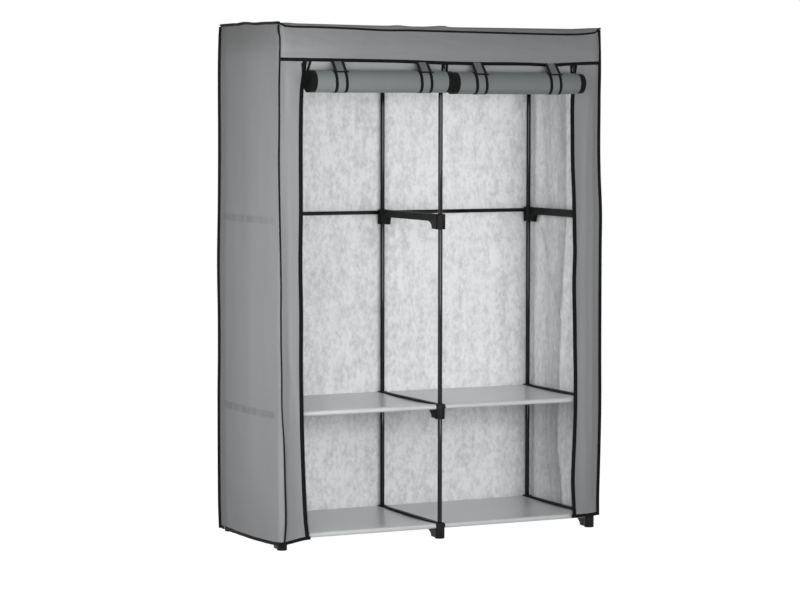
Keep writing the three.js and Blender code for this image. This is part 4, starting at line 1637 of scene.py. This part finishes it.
def shelf(bay, level):
    """A cloth shelf: one length of coated cloth with a sleeve round each tube."""
    values = settings("wardrobe_shelves")
    node = f"{bay}_{SHELF_LEVELS[level]}_shelf"
    start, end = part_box(node)
    tube_z = middle(f"{bay}_{level}_front_tube").z
    centre = (start.x + end.x) / 2
    wide = (end.x - start.x) / 2
    narrow = POLE_X / 2 - SOCKET_RADIUS - values.sleeve_gap
    section = shelf_section(tube_z)
    columns = 56
    points, uv, run = [], [], 0.0
    seed = centre * 5 + tube_z * 3
    for i, (y, z) in enumerate(section):
        if i:
            run += math.dist(section[i - 1], section[i])
        edge_gap = min(y - POLE_Y["front"], POLE_Y["back"] - y)
        notch = smooth(between(edge_gap, SOCKET_RADIUS + 1 * MM, SOCKET_RADIUS + 9 * MM))
        half = narrow + (wide - narrow) * notch
        row = []
        for c in range(columns + 1):
            u = 2 * c / columns - 1
            drape = 1.2 * MM * waver(u * 3, run * 9, seed) * notch * (1 - u * u)
            lift = 1.4 * MM * notch * abs(u) ** 8
            row.append(Vector((centre + half * u, y, z + drape - lift)))
        points.append(row)
        uv.append([(half * (2 * c / columns - 1), run) for c in range(columns + 1)])
    cloth = materials_named("coated_cloth")
    obj = sheet_object(f"{node}_cloth", points[::-1], uv[::-1], cloth, values.thickness)
    return dress(obj, "wardrobe", "shelf_cloth", node)


def shelf_stitches():
    """The sleeves' seams, in pale thread."""
    run = settings("wardrobe_shelves").seam_run
    lines = []
    for bay in BAYS:
        for level, name in SHELF_LEVELS.items():
            start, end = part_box(f"{bay}_{name}_shelf")
            for y in (POLE_Y["front"] + run, POLE_Y["back"] - run):
                z = shelf_top(bay, level) - shelf_sag(y) + 0.25 * MM
                lines.append([Vector((x, y, z)) for x in steps_between(start.x + 9 * MM, end.x - 9 * MM)])
    made = stitches("shelf_stitches", lines, 0.6 * MM, "coated_cloth")
    return dress(made, "wardrobe", "shelf_cloth")


# Rolled doors


def roll_axis(side):
    """(y, z) of a roll's axis."""
    radius = settings("wardrobe_doors").roll_radius
    return low(f"{side}_door").y + radius, low(f"{side}_door").z + radius


def roll_tree():
    """A sheet wound in a spiral about an axis along X, made from a grid by a rule."""
    name = "rolled_sheet"
    if name in bpy.data.node_groups:
        return bpy.data.node_groups[name]
    lengths = ("Radius", "Pitch", "Turns", "Start X", "Width", "Axis Y", "Axis Z", "Unevenness", "End taper")
    inputs = [(label, "Float") for label in lengths] + [("Steps", "Int"), ("Columns", "Int")]
    tree, given, result = new_group(name, inputs + [("Material", "Material")], "Roll")
    links = tree.links

    def maths(operation, first, second=None):
        return sum_of(tree, operation, first, second)

    grid = add_node(tree, "GeometryNodeMeshGrid", {"Size X": 1, "Size Y": 1})
    place = add_node(tree, "ShaderNodeSeparateXYZ")
    links.new(add_node(tree, "GeometryNodeInputPosition").outputs[0], place.inputs[0])
    wound = maths("MULTIPLY", maths("ADD", place.outputs["X"], 0.5), given.outputs["Turns"])
    turn = maths("MULTIPLY", wound, -2 * math.pi)
    along = maths("ADD", place.outputs["Y"], 0.5)
    spot = add_node(tree, "ShaderNodeCombineXYZ")
    links.new(maths("MULTIPLY", wound, 2.3), spot.inputs["X"])
    links.new(maths("MULTIPLY", along, 2.6), spot.inputs["Y"])
    rough = add_node(tree, "ShaderNodeTexNoise", {"Scale": 1, "Detail": 1})
    links.new(spot.outputs[0], rough.inputs["Vector"])
    uneven = maths("MULTIPLY", maths("SUBTRACT", rough.outputs["Fac"], 0.5), given.outputs["Unevenness"])
    radius = maths("SUBTRACT", given.outputs["Radius"], maths("MULTIPLY", wound, given.outputs["Pitch"]))
    radius = maths("ADD", radius, maths("MINIMUM", uneven, 0.0))
    near_end = maths("MAXIMUM", maths("SUBTRACT", along, 0.87), 0.0)
    radius = maths("SUBTRACT", radius, maths("MULTIPLY", near_end, given.outputs["End taper"]))
    edge = add_node(tree, "ShaderNodeTexNoise", {"Scale": 1.4}, noise_dimensions="1D")
    links.new(wound, edge.inputs["W"])
    creep = maths("MULTIPLY", maths("SUBTRACT", edge.outputs["Fac"], 0.5), given.outputs["Unevenness"])
    x = maths("ADD", maths("MULTIPLY", along, given.outputs["Width"]), given.outputs["Start X"])
    moved = add_node(tree, "ShaderNodeCombineXYZ")
    links.new(maths("ADD", x, creep), moved.inputs["X"])
    for axis, operation in (("Y", "COSINE"), ("Z", "SINE")):
        reach = maths("MULTIPLY", radius, maths(operation, turn))
        links.new(maths("ADD", reach, given.outputs[f"Axis {axis}"]), moved.inputs[axis])
    bend = add_node(tree, "GeometryNodeSetPosition")
    real = add_node(tree, "GeometryNodeRealizeInstances")
    paint = add_node(tree, "GeometryNodeSetMaterial")
    wire(
        tree,
        (given, "Steps", grid, "Vertices X"),
        (given, "Columns", grid, "Vertices Y"),
        (grid, "Mesh", bend, "Geometry"),
        (moved, "Vector", bend, "Position"),
        (bend, "Geometry", real, "Geometry"),
        (real, "Geometry", paint, "Geometry"),
        (given, "Material", paint, "Material"),
        (paint, "Geometry", result, "Roll"),
    )
    return tree


ROLL_STEPS = 44
ROLL_COLUMNS = 48
ROLL_UNEVEN = 1.6 * MM
END_TAPER = {"left": 8 * MM, "right": 26 * MM}


def door_roll(side):
    """The rolled part of a door, with the black zip tape at both ends."""
    doors = settings("wardrobe_doors")
    node = f"{side}_door"
    start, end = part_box(node)
    axis_y, axis_z = roll_axis(side)
    name = f"{side}_door_roll_cloth"
    obj = add_object(name, bpy.data.meshes.new(name), [])
    width = end.x - start.x
    steps = round(doors.roll_turns * ROLL_STEPS) + 1
    wanted = {
        "Radius": doors.roll_radius, "Pitch": doors.roll_pitch, "Turns": doors.roll_turns, "Start X": start.x,
        "Width": width, "Axis Y": axis_y, "Axis Z": axis_z, "Unevenness": ROLL_UNEVEN,
        "End taper": END_TAPER[side],
        "Steps": steps, "Columns": ROLL_COLUMNS + 1, "Material": material_named("rolled_cloth"),
    }
    apply_tree(obj, roll_tree(), wanted)
    mesh = obj.data
    mesh.materials.clear()
    for material in materials_named("rolled_cloth", "black_tape"):
        mesh.materials.append(material)
    layer = mesh.uv_layers[0] if mesh.uv_layers else mesh.uv_layers.new(name="UVMap")
    layer.name = "UVMap"
    turn_length = math.pi * doors.roll_radius
    for polygon in mesh.polygons:
        centre = polygon.center
        near_end = min(centre.x - start.x, end.x - centre.x)
        polygon.material_index = 1 if near_end < doors.band_width else 0
        for corner in polygon.loop_indices:
            vertex = mesh.loops[corner].vertex_index
            point = mesh.vertices[vertex].co
            layer.data[corner].uv = (point.x, vertex // (ROLL_COLUMNS + 1) * turn_length / ROLL_STEPS)
    wall = obj.modifiers.new("thickness", "SOLIDIFY")
    wall.thickness = doors.cloth_thickness
    wall.offset = -1
    bake(obj)
    finish_mesh(obj.data, 60)
    return dress(obj, f"{side}_door_roll", "door_cloth", node)


def flap_ends(side, up):
    """x of the hanging flap's two edges: the zip gap on each side of it stays open, and widens up
    from the roll to the seam."""
    if side == "left":
        return low("left_door").x + (8 + 16 * up) * MM, 2 * MM * up
    return (6 + 3 * up) * MM, high("right_zip_slider").x - 5.7 * MM


# Height where a flap and the straps leave the cover, behind the valance's edge
KNEE = 1575.5 * MM


def flap_profile(side):
    """The flap's line from the top seam down behind the valance to the back of the roll."""
    axis_y, axis_z = roll_axis(side)
    radius = settings("wardrobe_doors").roll_radius
    hang_y = high(f"{side}_door").y - 0.6 * MM
    knee = KNEE
    back_y = axis_y + radius
    points = [(hang_y, z) for z in np.linspace(COVER_TOP - 20 * MM, knee + 3 * MM, 10)]
    count = 72
    for i in range(count + 1):
        t = i / count
        points.append((hang_y + (back_y - hang_y) * smooth(t), knee + (axis_z - knee) * t))
    for i in range(1, 5):
        turn = math.radians(-6 * i)
        points.append((axis_y + radius * math.cos(turn), axis_z + radius * math.sin(turn)))
    return points, knee, axis_z


def edged_columns(start, end, edge, inner):
    """Places across a band with two columns in each bound edge and this many between them."""
    places = [start, start + edge / 2, start + edge]
    places += [start + edge + (end - start - 2 * edge) * i / inner for i in range(1, inner)]
    return places + [end - edge, end - edge / 2, end]


def black_edges(columns, black_from=None):
    """A rule for grid_mesh: material 1 on two columns at each side and from this row on, else 0."""

    def kind(row, column):
        at_end = black_from is not None and row >= black_from
        return 1 if column < 2 or column > columns - 3 or at_end else 0

    return kind


FLAP_COLUMNS = 34


def door_flap(side):
    """The hanging part of a door. It bends from the cover to the roll."""
    doors, cover = settings("wardrobe_doors"), settings("wardrobe_cover")
    profile, knee, roll_z = flap_profile(side)
    points, uv = [], []
    for y, z in profile:
        start, end = flap_ends(side, smooth(between(z, roll_z + 10 * MM, knee + 12 * MM)))
        xs = edged_columns(start, end, cover.flap_tape, FLAP_COLUMNS)
        row = []
        free = smooth(between(z, COVER_TOP - 26 * MM, knee))
        free *= smooth(between(z, roll_z + 2 * MM, roll_z + 20 * MM))
        for x in xs:
            t = between(x, start, end)
            fold = min(0.5 * MM, 2.2 * MM * waver(x * 14 + z * 20, 2.5) + 1.2 * MM * waver(x * 6, 8.5))
            row.append(Vector((x, y + fold * free * math.sin(math.pi * t) - 0.4 * MM, z)))
        points.append(row)
        uv.append([(x, z) for x in xs])
    materials = materials_named("flap_cloth", "black_tape", "inner_cloth")
    rule = black_edges(len(xs) - 1)
    obj = sheet_object(f"{side}_door_flap", points[::-1], uv[::-1], materials, doors.cloth_thickness, rule)
    paint_inner_face(obj)
    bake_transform(obj)
    return obj


def paint_inner_face(obj):
    """The face of the flap that looks into the wardrobe gets the pale lining, whose paleness is painted light
    coming through the cloth.
    """
    for polygon in obj.data.polygons:
        if polygon.material_index == 0 and polygon.normal.y > 0.2:
            polygon.material_index = 2


# Roll straps


def circle_point(side, radius, degrees):
    axis_y, axis_z = roll_axis(side)
    turn = math.radians(degrees)
    return axis_y + radius * math.cos(turn), axis_z + radius * math.sin(turn)


def tangent_turn(side, radius, y, z, hand):
    """Where a straight line from (y, z) touches the circle, in degrees."""
    axis_y, axis_z = roll_axis(side)
    dy, dz = y - axis_y, z - axis_z
    return math.degrees(math.atan2(dz, dy) + hand * math.acos(radius / math.hypot(dy, dz)))


# Where the band ends in degrees, after it has gone under the roll and up behind
STRAP_STOP = 104 - 360
STRAP_INSET = 0.6 * MM
STRAP_GAP = 3.0 * MM
TAB_RISE = 6 * MM


def strap_lines(side):
    """(lower band, upper tab) as lists of (y, z, share of the slant)."""
    node = f"{side}_door_straps"
    top = high(node).z
    inner_y = high(node).y - STRAP_INSET
    outer_y = inner_y - STRAP_GAP
    knee = KNEE
    radius = settings("wardrobe_doors").roll_radius + 1.0 * MM
    begin = tangent_turn(side, radius, inner_y, knee, -1)
    band = [(inner_y, z, 0.0) for z in evenly(top, knee, 3)]
    first = circle_point(side, radius, begin)
    for i in range(1, 5):
        t = i / 5
        band.append((inner_y + (first[0] - inner_y) * t, knee + (first[1] - knee) * t, 0.15 * t))
    steps = 34
    for i, turn in enumerate(evenly(begin, STRAP_STOP, steps)):
        band.append((*circle_point(side, radius, turn), 0.15 + 0.85 * min(1, 1.4 * i / steps)))
    outer_radius = radius + 1.7 * MM
    touch = tangent_turn(side, outer_radius, outer_y, knee + TAB_RISE, 1)
    tab = [(outer_y, top - (top - knee - TAB_RISE) * i / 3, 0.0) for i in range(4)]
    first = circle_point(side, outer_radius, touch)
    for i in range(1, 8):
        t = i / 8
        z = knee + TAB_RISE + (first[1] - knee - TAB_RISE) * t
        tab.append((outer_y + (first[0] - outer_y) * t, z, 0.85 * t))
    for i, turn in enumerate(evenly(touch, touch + 16, 8)):
        tab.append((*circle_point(side, outer_radius, turn), 0.85 + 0.15 * i / 8))
    return band, tab


def strap_sheet(name, line, x, bound_end):
    """One cloth band with black bound edges and, at a free end, a bound end."""
    doors = settings("wardrobe_doors")
    half = doors.strap_width / 2
    offsets = edged_columns(-half, half, doors.strap_edge, 4)
    points, uv, run = [], [], 0.0
    for i, (y, z, slant) in enumerate(line):
        if i:
            run += math.dist(line[i - 1][:2], line[i][:2])
        shift = -doors.strap_slant * slant
        at_end = bound_end and i >= len(line) - 4
        flare, forward = (6 * MM, 0.7 * MM) if at_end else (0, 0)
        points.append([Vector((x + shift + o + flare * max(0, o / half), y - forward, z)) for o in offsets])
        uv.append([(x + o, run) for o in offsets])
    rule = black_edges(len(offsets) - 1, len(line) - 6 if bound_end else None)
    materials = materials_named("rolled_cloth", "black_tape")
    return sheet_object(name, points, uv, materials, doors.strap_thickness, rule)


def strap_stitch_lines(line, x):
    doors = settings("wardrobe_doors")
    lines = []
    for way in (-1, 1):
        offset = way * (doors.strap_width / 2 - doors.strap_edge + 1.2 * MM)
        path = []
        for i, (y, z, slant) in enumerate(line):
            before, after = line[max(i - 1, 0)], line[min(i + 1, len(line) - 1)]
            out = Vector((0, after[1] - before[1], -(after[0] - before[0]))).normalized()
            path.append(Vector((x + offset - doors.strap_slant * slant, y, z)) - out * 0.2 * MM)
        lines.append(path)
    return lines


STRAP_PLACES = {"left": (-0.384, -0.081), "right": (0.1215, 0.399)}


def strap_pair(side):
    """Both straps of a door on their seam tape."""
    parts, stitch_lines = [], []
    band, tab = strap_lines(side)
    for i, x in enumerate(STRAP_PLACES[side]):
        parts.append(strap_sheet(f"{side}_band_{i}", band, x, False))
        parts.append(strap_sheet(f"{side}_tab_{i}", tab, x, True))
        stitch_lines += strap_stitch_lines(band[4:], x) + strap_stitch_lines(tab[3:], x)
    node = f"{side}_door_straps"
    tape_y = high(node).y - STRAP_INSET
    tape_z = high(node).z - 5 * MM
    xs = steps_between(low(node).x, high(node).x, 30 * MM)
    points = [Vector((x, tape_y + 0.5 * MM, tape_z)) for x in xs]
    across = [Vector((0, 0, 1))] * len(xs)
    parts.append(ribbon(f"{side}_seam_tape", points, across, 10 * MM, 1.0 * MM, material_named("black_tape")))
    parts.append(stitches(f"{side}_strap_stitches", stitch_lines))
    pair = join(f"{side}_door_strap_pair", parts)
    anchor_y, axis_z = tape_y - STRAP_GAP, roll_axis(side)[1]
    dress(pair, "wardrobe", "strap_cloth", node)
    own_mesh(pair)
    return pair


# Zip sliders


def plate(solid, outline, y_from, y_to, edge):
    """A flat plate from an (x, z) outline between two depths, with rounded edges."""
    both = drawn_out(solid, [(x, y_from, z) for x, z in outline], (0, y_to - y_from, 0))
    edges = [e for e in solid.edges if e.verts[0] in both and abs(e.verts[0].co.y - e.verts[1].co.y) < 1e-7]
    bmesh.ops.bevel(solid, geom=edges, offset=edge, segments=2, profile=0.5, affect="EDGES")


def zip_slider(side):
    """A slider with two plates, a bridge and a pull tab with a round end."""
    node = f"{side}_zip_slider"
    start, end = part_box(node)
    centre = (start + end) / 2
    half = (end.x - start.x) / 2
    top = end.z
    body_low = top - 16 * MM
    back_y = end.y
    solid = bmesh.new()

    def closed(left, *between_halves):
        """An outline from its left half, its own points between the halves, and the mirrored half."""
        right = [(-x, z) for x, z in reversed(left)]
        return [(centre.x + x, z) for x, z in (*left, *between_halves, *right)]

    left = [(-half, top - 2 * MM), (-half * 0.62, body_low + 1 * MM), (-half * 0.35, body_low)]
    shield = closed(left) + [(centre.x + half * 0.5, top), (centre.x - half * 0.5, top)]
    plate(solid, shield, back_y - 1.3 * MM, back_y, 0.3 * MM)
    plate(solid, shield, back_y - 4.4 * MM, back_y - 3.1 * MM, 0.3 * MM)
    wedge = closed([(-half * 0.3, top - 1 * MM), (-half * 0.22, top - 7 * MM)])
    plate(solid, wedge, back_y - 3.2 * MM, back_y - 1.2 * MM, 0.1 * MM)
    front_y = start.y
    tab_half = 2 * MM
    tab_top, tab_low = top - 7 * MM, start.z
    round_end = []
    for i in range(1, 8):
        turn = math.pi + math.pi * i / 8
        round_end.append((tab_half * 0.8 * math.cos(turn), tab_low + tab_half * 0.9 * (1 + math.sin(turn))))
    outline = closed([(-tab_half, tab_top), (-tab_half * 0.8, tab_low + tab_half)], *round_end)
    plate(solid, outline, front_y, front_y + 0.9 * MM, 0.25 * MM)
    bridge = closed([(-0.9 * MM, top - 3 * MM), (-0.9 * MM, top - 11 * MM)])
    plate(solid, bridge, front_y + 0.2 * MM, back_y - 4.2 * MM, 0.3 * MM)
    bmesh.ops.recalc_face_normals(solid, faces=solid.faces)
    obj = to_object(f"{side}_zip_slider_metal", solid, [material_named("black_lacquer")], 30)
    return dress(obj, f"{side}_zip", "zip_metal", node)


# Stage


def camera_and_lamps():
    stage = settings("wardrobe_stage")
    scene = bpy.context.scene
    data = bpy.data.cameras.new("camera")
    data.sensor_width = 36
    data.lens = stage.lens_mm
    data.clip_end = 60
    camera = bpy.data.objects.new("camera", data)
    camera.location = stage.camera_place
    camera.rotation_euler = [math.radians(v) for v in stage.camera_turn]
    scene.collection.objects.link(camera)
    scene.camera = camera
    scene.view_settings.view_transform = "Standard"
    lamp("near_lamp", (-1.35, -1.3, 1.35), (-0.2, -0.1, 0.85), (0.7, 1.4), stage.near)
    lamp("front_lamp", (-0.45, -4.6, 1.2), (0.0, 0.0, 0.9), (3.0, 1.4), stage.front)
    lamp("side_lamp", (-1.6, -0.55, 0.82), (-0.6, -0.15, 0.82), (0.2, 1.8), stage.side)
    lamp("back_lamp", (0.6, 4.0, 1.4), (0.0, 0.0, 0.8), (2.6, 2.2), stage.behind)


def lamp(name, place, aim, size, watts):
    data = bpy.data.lights.new(name, "AREA")
    data.shape = "RECTANGLE"
    data.size, data.size_y = size
    data.energy = watts
    obj = bpy.data.objects.new(name, data)
    obj.location = place
    obj.rotation_euler = (Vector(aim) - Vector(place)).to_track_quat("-Z", "Y").to_euler()
    bpy.context.scene.collection.objects.link(obj)


def seen_directly(tree):
    """1 for camera, glossy and transmission rays, 0 for light that reaches the object."""
    path = tree.nodes.new("ShaderNodeLightPath")
    direct = sum_of(tree, "MAXIMUM", path.outputs["Is Camera Ray"], path.outputs["Is Glossy Ray"])
    return sum_of(tree, "MAXIMUM", direct, path.outputs["Is Transmission Ray"])


def white_world():
    stage = settings("wardrobe_stage")
    world = bpy.data.worlds.new("studio")
    bpy.context.scene.world = world
    world.use_nodes = True
    tree = world.node_tree
    tree.nodes.clear()
    even = add_node(tree, "ShaderNodeBackground", {"Color": (1, 1, 1, 1), "Strength": stage.sky})
    seen = add_node(tree, "ShaderNodeBackground", {"Color": (1, 1, 1, 1), "Strength": 1.0})
    mix = tree.nodes.new("ShaderNodeMixShader")
    out = tree.nodes.new("ShaderNodeOutputWorld")
    tree.links.new(seen_directly(tree), mix.inputs["Fac"])
    tree.links.new(even.outputs["Background"], mix.inputs[1])
    tree.links.new(seen.outputs["Background"], mix.inputs[2])
    tree.links.new(mix.outputs["Shader"], out.inputs["Surface"])


FLOOR_SHADOW_SHARE = 0.35
FLOOR_GLOW = 1.50
FLOOR_HALF = 14


def white_floor():
    material = bpy.data.materials.new("studio_floor")
    material.use_nodes = True
    tree = material.node_tree
    tree.nodes.clear()
    matt = add_node(tree, "ShaderNodeBsdfDiffuse", {"Color": (0.62, 0.62, 0.62, 1)})
    glow = add_node(tree, "ShaderNodeEmission", {"Color": (1, 1, 1, 1), "Strength": FLOOR_GLOW})
    mix, out = tree.nodes.new("ShaderNodeMixShader"), tree.nodes.new("ShaderNodeOutputMaterial")
    share = sum_of(tree, "MULTIPLY", seen_directly(tree), 1 - FLOOR_SHADOW_SHARE)
    tree.links.new(share, mix.inputs["Fac"])
    tree.links.new(matt.outputs["BSDF"], mix.inputs[1])
    tree.links.new(glow.outputs["Emission"], mix.inputs[2])
    tree.links.new(mix.outputs["Shader"], out.inputs["Surface"])
    mesh = bpy.data.meshes.new("floor")
    corners = [(-1, -1), (1, -1), (1, 1), (-1, 1)]
    mesh.from_pydata([(FLOOR_HALF * x, FLOOR_HALF * y, 0) for x, y in corners], [], [(0, 1, 2, 3)])
    floor = add_object("floor", mesh, [material])


# Operators


class BuildStage(bpy.types.Operator):
    """Sets up the camera, the lamps, the white background and the floor"""

    bl_idname = "wardrobe.build_stage"
    bl_label = "Stage"

    def execute(self, context):
        camera_and_lamps()
        white_world()
        white_floor()
        return {"FINISHED"}


class BuildPoles(bpy.types.Operator):
    """Builds the eighteen upright steel tubes"""

    bl_idname = "wardrobe.build_poles"
    bl_label = "Poles"

    def execute(self, context):
        for side in SIDES:
            for row in ROWS:
                for part in STAGES:
                    pole(side, row, part)
        return {"FINISHED"}


class BuildCrossTubes(bpy.types.Operator):
    """Builds the cross tubes and the two hanging rails"""

    bl_idname = "wardrobe.build_cross_tubes"
    bl_label = "Cross tubes"

    def execute(self, context):
        for node in sorted(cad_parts):
            if node.endswith(("_tube", "_rail")):
                cross_tube(node, f"{node}_steel")
        return {"FINISHED"}


class BuildSideBars(bpy.types.Operator):
    """Builds the twelve moulded side bars with their sockets"""

    bl_idname = "wardrobe.build_side_bars"
    bl_label = "Side bars"

    def execute(self, context):
        for side in SIDES:
            for level in LEVELS:
                side_bar(side, level)
        return {"FINISHED"}


class BuildShelves(bpy.types.Operator):
    """Builds the four cloth shelves and their stitching"""

    bl_idname = "wardrobe.build_shelves"
    bl_label = "Shelves"

    def execute(self, context):
        for bay in BAYS:
            for level in SHELF_LEVELS:
                shelf(bay, level)
        shelf_stitches()
        return {"FINISHED"}


class BuildCover(bpy.types.Operator):
    """Builds the cover's sides, back, top and valance"""

    bl_idname = "wardrobe.build_cover"
    bl_label = "Cover"

    def execute(self, context):
        for hand in HANDS:
            side_sheet(hand)
        back_sheet()
        top_sheet()
        valance_sheet()
        return {"FINISHED"}


class BuildBindings(bpy.types.Operator):
    """Builds the black binding on the seams and hems, with its stitches"""

    bl_idname = "wardrobe.build_bindings"
    bl_label = "Bindings"

    def execute(self, context):
        cover = settings("wardrobe_cover")
        bands("seam_binding", seam_paths(), cover.flange, cover.flange_thickness)
        bands("hem_binding", hem_paths(), cover.hem_band, cover.tape_thickness)
        cover_stitches()
        return {"FINISHED"}


class BuildZips(bpy.types.Operator):
    """Builds the zip tapes, their teeth and the three sliders"""

    bl_idname = "wardrobe.build_zips"
    bl_label = "Zips"

    def execute(self, context):
        cover = settings("wardrobe_cover")
        bands("strip_zip_tape", zip_tape_paths(), cover.zip_tape, cover.tape_thickness)
        zip_teeth()
        for side in SIDES:
            zip_slider(side)
        return {"FINISHED"}


class BuildDoors(bpy.types.Operator):
    """Builds the two rolled doors with their hanging flaps"""

    bl_idname = "wardrobe.build_doors"
    bl_label = "Doors"

    def execute(self, context):
        for side in DOOR_SIDES:
            door_roll(side)
            door_flap(side)
        return {"FINISHED"}


class BuildStraps(bpy.types.Operator):
    """Builds the straps that hold the rolled doors"""

    bl_idname = "wardrobe.build_straps"
    bl_label = "Straps"

    def execute(self, context):
        for side in DOOR_SIDES:
            strap_pair(side)
        return {"FINISHED"}


BUILDERS = (
    BuildStage,
    BuildPoles,
    BuildCrossTubes,
    BuildSideBars,
    BuildShelves,
    BuildCover,
    BuildBindings,
    BuildZips,
    BuildStraps,
    BuildDoors,
)


class WardrobePanel(bpy.types.Panel):
    """Lists the wardrobe's settings and its builders"""

    bl_idname = "VIEW3D_PT_wardrobe"
    bl_label = "Portable wardrobe"
    bl_space_type = "VIEW_3D"
    bl_region_type = "UI"
    bl_category = "Wardrobe"

    def draw(self, context):
        for name, group in SETTINGS.items():
            box = self.layout.box()
            for value in group.__annotations__:
                box.prop(getattr(context.scene, name), value)
        for builder in BUILDERS:
            self.layout.operator(builder.bl_idname)


CLASSES = (*SETTINGS.values(), *BUILDERS, WardrobePanel)


def register():
    for cls in CLASSES:
        bpy.utils.register_class(cls)
    for name, group in SETTINGS.items():
        setattr(bpy.types.Scene, name, bpy.props.PointerProperty(type=group))


def unregister():
    for name in SETTINGS:
        delattr(bpy.types.Scene, name)
    for cls in reversed(CLASSES):
        bpy.utils.unregister_class(cls)


def main():
    register()
    for builder in BUILDERS:
        group, name = builder.bl_idname.split(".")
        getattr(getattr(bpy.ops, group), name)()


if __name__ == "__main__":
    main()
